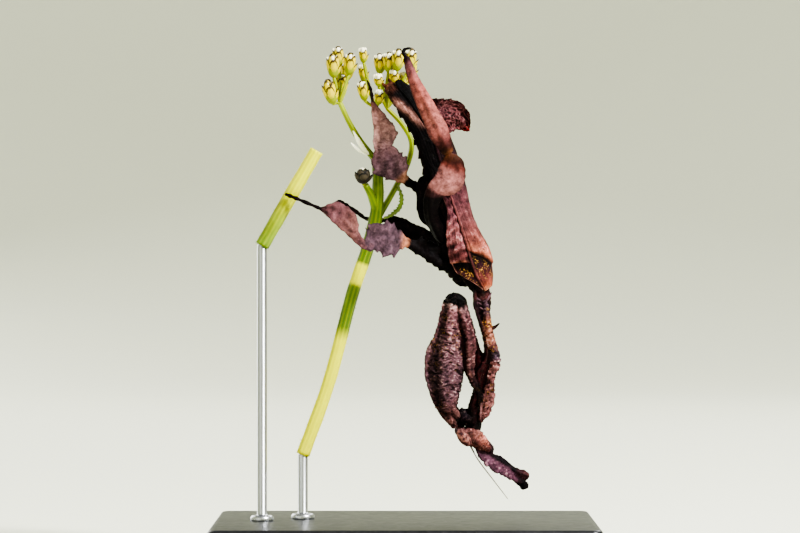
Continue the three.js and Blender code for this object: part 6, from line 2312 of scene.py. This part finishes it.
@dataclass
class Perch:
    """The cut yarrow stems with the shoots that the feet hold."""

    stem: tuple[Row, ...] = (
        (-11.3, 2.0, 12.1, 0.72), (-8.5, 2.0, 19.9, 0.7), (-5.7, 2.0, 30.3, 0.68), (-4.2, 2.2, 34.7, 0.68),
        (-3.2, 2.4, 38.6, 0.7), (-3.0, 2.6, 42.4, 0.6), (-3.2, 2.6, 45.2, 0.48),
    )
    second: tuple[Row, ...] = ((-15.7, -0.7, 35.2, 0.75), (-12.6, -0.75, 40.6, 0.75), (-9.7, -0.7, 45.6, 0.7))
    left: tuple[Row, ...] = (
        (-3.2, 2.6, 44.6, 0.36), (-4.9, 2.2, 46.7, 0.34), (-6.2, 1.6, 48.9, 0.3), (-7.2, 1.2, 51.0, 0.27),
    )
    centre: tuple[Row, ...] = (
        (-3.1, 2.65, 44.6, 0.32), (-3.0, 3.1, 47.2, 0.28), (-3.3, 3.0, 49.0, 0.27), (-3.4, 2.6, 50.6, 0.26),
    )
    right: tuple[Row, ...] = (
        (-2.8, 2.6, 38.6, 0.34), (-1.1, 3.4, 41.6, 0.32), (0.4, 4.1, 44.6, 0.3), (0.7, 4.2, 46.8, 0.28),
        (-0.4, 4.1, 48.8, 0.26), (-2.0, 3.6, 50.5, 0.25),
    )
    small: tuple[Row, ...] = ((-3.2, 2.3, 39.2, 0.5), (-3.75, 1.9, 40.8, 0.42), (-4.35, 1.35, 41.9, 0.36))
    leaf: tuple[Row, ...] = (
        (-0.8, 3.1, 41.9, 0.16, 0.14), (-0.35, 2.8, 40.6, 0.2, 0.26, 0.13), (-0.6, 2.5, 39.35, 0.2, 0.32, 0.13),
        (-1.5, 2.3, 38.55, 0.16, 0.28, 0.12), (-2.4, 2.2, 38.25, 0.1),
    )
    scales: tuple[tuple[Row, ...], ...] = (
        (
            (-4.0, 2.1, 45.3, 0.14, 0.1), (-4.75, 1.8, 46.1, 0.3, 0.22, 0.12), (-5.3, 1.6, 47.0, 0.24, 0.18, 0.11),
            (-5.75, 1.5, 47.9, 0.07, 0.08),
        ),
        ((-4.1, 2.1, 45.3, 0.12, 0.14, 0.1), (-5.0, 1.7, 45.7, 0.16, 0.22, 0.11), (-6.0, 1.5, 46.6, 0.07, 0.08)),
    )

    # pale and green bands along the main stem
    stem_bands: tuple[Row, ...] = (
        (0.0, 0.9), (0.24, 0.95), (0.262, 0.0), (0.345, 0.0), (0.36, 1.0), (0.43, 1.0), (0.447, 0.0), (1.0, 0.0),
    )
    # the second stem pales toward its top: a painted highlight
    second_highlight: tuple[Row, ...] = ((0.0, 0.0), (0.3, 0.2), (0.6, 0.8), (1.0, 0.9))
    down: tuple[float, float, float] = (9.0e6, 0.32, 0.014)  # hairs a square metre, their length and radius in mm

    def build(self) -> None:
        """Makes the stems, shoots, buds and leaf."""
        main = StalkForm(self.stem, bleach_and_highlight=self.stem_bands)
        keep(stalks([main], "perch_stem_stalk"), "stem", "perch_stem")
        other = StalkForm(self.second, bleach_and_highlight=self.second_highlight)
        keep(stalks([other], "perch_second_stalk"), "stem", "perch_second_stem")
        for form, name in ((main, "perch_stem_down"), (other, "perch_second_down")):
            down = run_tree(down_tree(), stalks([form], "down"), name, {
                "Density": self.down[0], "Hair Length": self.down[1] * MM, "Hair Radius": self.down[2] * MM,
                "Material": Dress.STALK.material(),
            })
            keep(down, "stem")
        Shoot("shoot_left", "perch_shoot_left", self.left, (
            Bud(-7.9, 1.2, 54.8, 0.8, 1.3, 0.8), Bud(-7.4, 2.8, 55.9, 0.7, 1.15, 0.8),
            Bud(-6.1, 1.0, 55.0, 0.72, 1.2, 0.5), Bud(-8.2, 0.8, 51.9, 0.82, 1.35, 0.1),
            Bud(-7.1, 2.6, 52.9, 0.7, 1.1, 0.3), Bud(-6.5, 4.2, 54.4, 0.7, 1.1, 0.5),
        )).build()
        Shoot("shoot_centre", "perch_shoot_centre", self.centre, (
            Bud(-4.6, 1.9, 52.1, 0.6, 1.1, 0.4), Bud(-2.9, 1.5, 51.4, 0.55, 0.8, 0.4),
            Bud(-4.6, 3.5, 54.2, 0.55, 0.95, 0.5), Bud(-4.6, 2.3, 56.1, 0.5, 0.8, 0.8),
        )).build()
        Shoot("shoot_right", "perch_shoot_right", self.right, (
            Bud(-2.8, 3.4, 55.2, 0.65, 1.1, 0.9), Bud(-1.8, 2.4, 55.3, 0.65, 1.1, 0.9),
            Bud(-0.8, 1.6, 55.5, 0.72, 1.2, 0.9), Bud(0.6, 2.8, 55.6, 0.72, 1.15, 1.0),
            Bud(-1.2, 2.0, 53.6, 0.6, 0.85, 0.8), Bud(-2.9, 1.6, 53.3, 0.55, 0.6, 1.0),
            Bud(-0.2, 3.8, 53.4, 0.6, 0.9, 0.8), Bud(-1.4, 4.8, 54.6, 0.65, 1.0, 0.8),
            Bud(0.7, 4.4, 54.6, 0.65, 1.0, 0.8),
        )).build()
        Shoot(
            "shoot_small", "perch_bud", self.small, (Bud(-4.62, 1.15, 42.72, 0.95, 0.85, -1.0),), Dress.DARK_BRACT,
            0.03
        ).build()
        self.blade("perch_leaf_blade", self.leaf, 0.45, 0.02, Dress.LEAF, "perch_leaf")
        for name, rows in (("perch_scale_long", self.scales[0]), ("perch_scale_short", self.scales[1])):
            self.blade(name, rows, 0.1, 0.9, Dress.SCALE_LEAF)

    @staticmethod
    def blade(name: str, rows: tuple[Row, ...], teeth: float, bleach_and_highlight: float, finish: Dress, *nodes: str) -> None:
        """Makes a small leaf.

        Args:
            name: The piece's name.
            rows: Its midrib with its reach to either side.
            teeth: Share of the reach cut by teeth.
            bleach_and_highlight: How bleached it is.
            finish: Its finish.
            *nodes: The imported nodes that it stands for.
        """
        limb = Limb(rows, ACROSS, blade=0.1, teeth=teeth, tooth_pitch=0.45, ripple=0.08, ring_step=0.08, sides=36)
        form = limb.surface(70)
        mesh = mesh_of(form.points * MM, form.faces)
        outward(mesh)
        store(mesh, "rib", np.cos(form.data["t"] * 14))
        store(mesh, "bleach_and_highlight", np.full(len(form.points), bleach_and_highlight))
        keep(dress(link(mesh, name), finish), "leaf", *nodes)


# ---- The stand ------------------------------------------------------------------------------


@dataclass
class Stand:
    """A plain display stand: a flat base and two thin rods. Its sizes are in millimetres."""

    length: float = 42.0
    depth: float = 28.0
    height: float = 5.0
    corner: float = 1.2
    bevel: float = 0.45
    rod: float = 0.55  # radius
    # name, x, y and top of each rod
    feet: tuple[tuple[str, float, float, float], ...] = (("main", -11.3, 2.0, 12.3), ("second", -15.7, -0.7, 35.4))

    def build(self) -> None:
        """Makes the base and both rods."""
        outline = []
        for cx, cy, start in ((1, 1, 0), (-1, 1, 1), (-1, -1, 2), (1, -1, 3)):
            for k in range(9):
                angle = math.pi / 2 * (start + k / 8)
                outline.append((
                    cx * (self.length / 2 - self.corner) + self.corner * math.cos(angle),
                    cy * (self.depth / 2 - self.corner) + self.corner * math.sin(angle),
                ))
        n = len(outline)
        points = [(x * MM, y * MM, z * MM) for z in (0.0, self.height) for x, y in outline]
        faces: list[tuple[int, ...]] = [tuple(reversed(range(n))), tuple(range(n, 2 * n))]
        faces += [(k, (k + 1) % n, n + (k + 1) % n, n + k) for k in range(n)]
        block = link(mesh_of(np.array(points), faces), "block")
        bevel = block.modifiers.new("bevel", "BEVEL")
        bevel.width, bevel.segments, bevel.angle_limit = self.bevel * MM, 4, math.radians(50)
        base = dress(evaluated(block, "stand_base_block"), Dress.ACRYLIC)
        keep(base, "stand", "stand_base")
        for name, x, y, top in self.feet:
            profile = [
                (0.02, self.height), (self.rod + 0.75, self.height), (self.rod + 0.75, self.height + 0.35),
                (self.rod + 0.55, self.height + 0.6), (self.rod + 0.08, self.height + 0.65),
                (self.rod, self.height + 0.75), (self.rod, top - 0.25), (self.rod - 0.15, top), (0.02, top),
            ]
            turn = np.linspace(0, 2 * np.pi, 40, endpoint=False)
            rings = [[(x + r * math.cos(t), y + r * math.sin(t), z) for t in turn] for r, z in profile]
            mesh = mesh_of(np.array(rings).reshape(-1, 3) * MM, ring_faces(len(profile), 40))
            outward(mesh)
            rod = dress(link(mesh, f"stand_rod_{name}_wire"), Dress.STEEL)
            soften = rod.modifiers.new("bevel", "BEVEL")
            soften.width, soften.segments, soften.angle_limit = 0.06 * MM, 2, math.radians(40)
            keep(evaluated(rod, rod.name), "rod", f"stand_rod_{name}")


# ---- Studio ---------------------------------------------------------------------------------


@dataclass
class Studio:
    """A round paper sweep, soft lights and the camera."""

    floor_radius: float = 0.48  # metres, as all of the studio's lengths
    wall: float = 1.2
    bend: float = 0.5
    distance: float = 0.35
    centre: tuple[float, float] = (-0.55 * MM, 32.9 * MM)
    view_width: float = 0.088
    sensor: float = 36.0  # mm
    air: tuple[str, float] = ("#f2f2ea", 0.42)  # the room's light
    aim: Row = (0.0, 0.0, 0.032)  # what the lamps point at
    lamps: tuple[tuple[str, Row, float, float], ...] = (  # name, place, size in metres, watts
        ("key", (0.27, -0.24, 0.36), 0.07, 8.0), ("fill", (-0.35, -0.5, 0.2), 0.4, 0.6),
        ("rim", (0.2, 0.4, 0.35), 0.2, 1.5), ("back", (-0.32, 0.42, 0.25), 0.4, 2.2),
    )

    def build(self) -> None:
        """Makes the sweep, the lights and the camera."""
        profile = [(0.001, 0.0)] + [(self.floor_radius * k / 6, 0.0) for k in range(1, 7)]
        profile += [
            (self.floor_radius + self.bend * math.sin(a), self.bend * (1 - math.cos(a)))
            for a in np.linspace(0.1, math.pi / 2, 16)
        ]
        profile.append((self.floor_radius + self.bend, self.wall))
        turn = np.linspace(0, 2 * np.pi, 96, endpoint=False)
        points = np.array([
            [(r * math.cos(t), r * math.sin(t), z) for t in turn] for r, z in profile
        ]).reshape(-1, 3)
        faces = ring_faces(len(profile), 96)[:-2]
        sweep = dress(link(mesh_of(points, faces), "studio_sweep"), Dress.PAPER)
        world = bpy.data.worlds.new("studio")
        world.use_nodes = True
        air = world.node_tree.nodes["Background"].inputs
        air[0].default_value, air[1].default_value = linear(self.air[0]), self.air[1]
        bpy.context.scene.world = world
        for name, place, size, power in self.lamps:
            light = bpy.data.lights.new(name, "AREA")
            light.size, light.energy = size, power
            lamp = bpy.data.objects.new(name, light)
            lamp.location = place
            lamp.rotation_euler = (Vector(self.aim) - Vector(place)).to_track_quat("-Z", "Y").to_euler()
            bpy.context.scene.collection.objects.link(lamp)
        bpy.context.scene.view_settings.look = "AgX - Medium High Contrast"
        camera = bpy.data.cameras.new("camera")
        camera.sensor_width, camera.lens = self.sensor, self.sensor * self.distance / self.view_width
        camera.clip_start, camera.clip_end = 0.01, 10.0
        eye = bpy.data.objects.new("camera", camera)
        eye.location = (self.centre[0], -self.distance, self.centre[1])
        eye.rotation_euler = (math.pi / 2, 0.0, 0.0)
        bpy.context.scene.collection.objects.link(eye)
        bpy.context.scene.camera = eye


# ---- Assembly -------------------------------------------------------------------------------


def main() -> None:
    """Builds the pieces in order."""
    logging.basicConfig(level=logging.INFO, format="%(message)s")
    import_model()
    mantis = Mantis()
    mantis.skin()
    mantis.wings()
    mantis.eyes()
    mantis.spines()
    mantis.antennae()
    Perch().build()
    Stand().build()
    Studio().build()
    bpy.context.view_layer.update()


if __name__ == "__main__":
    main()
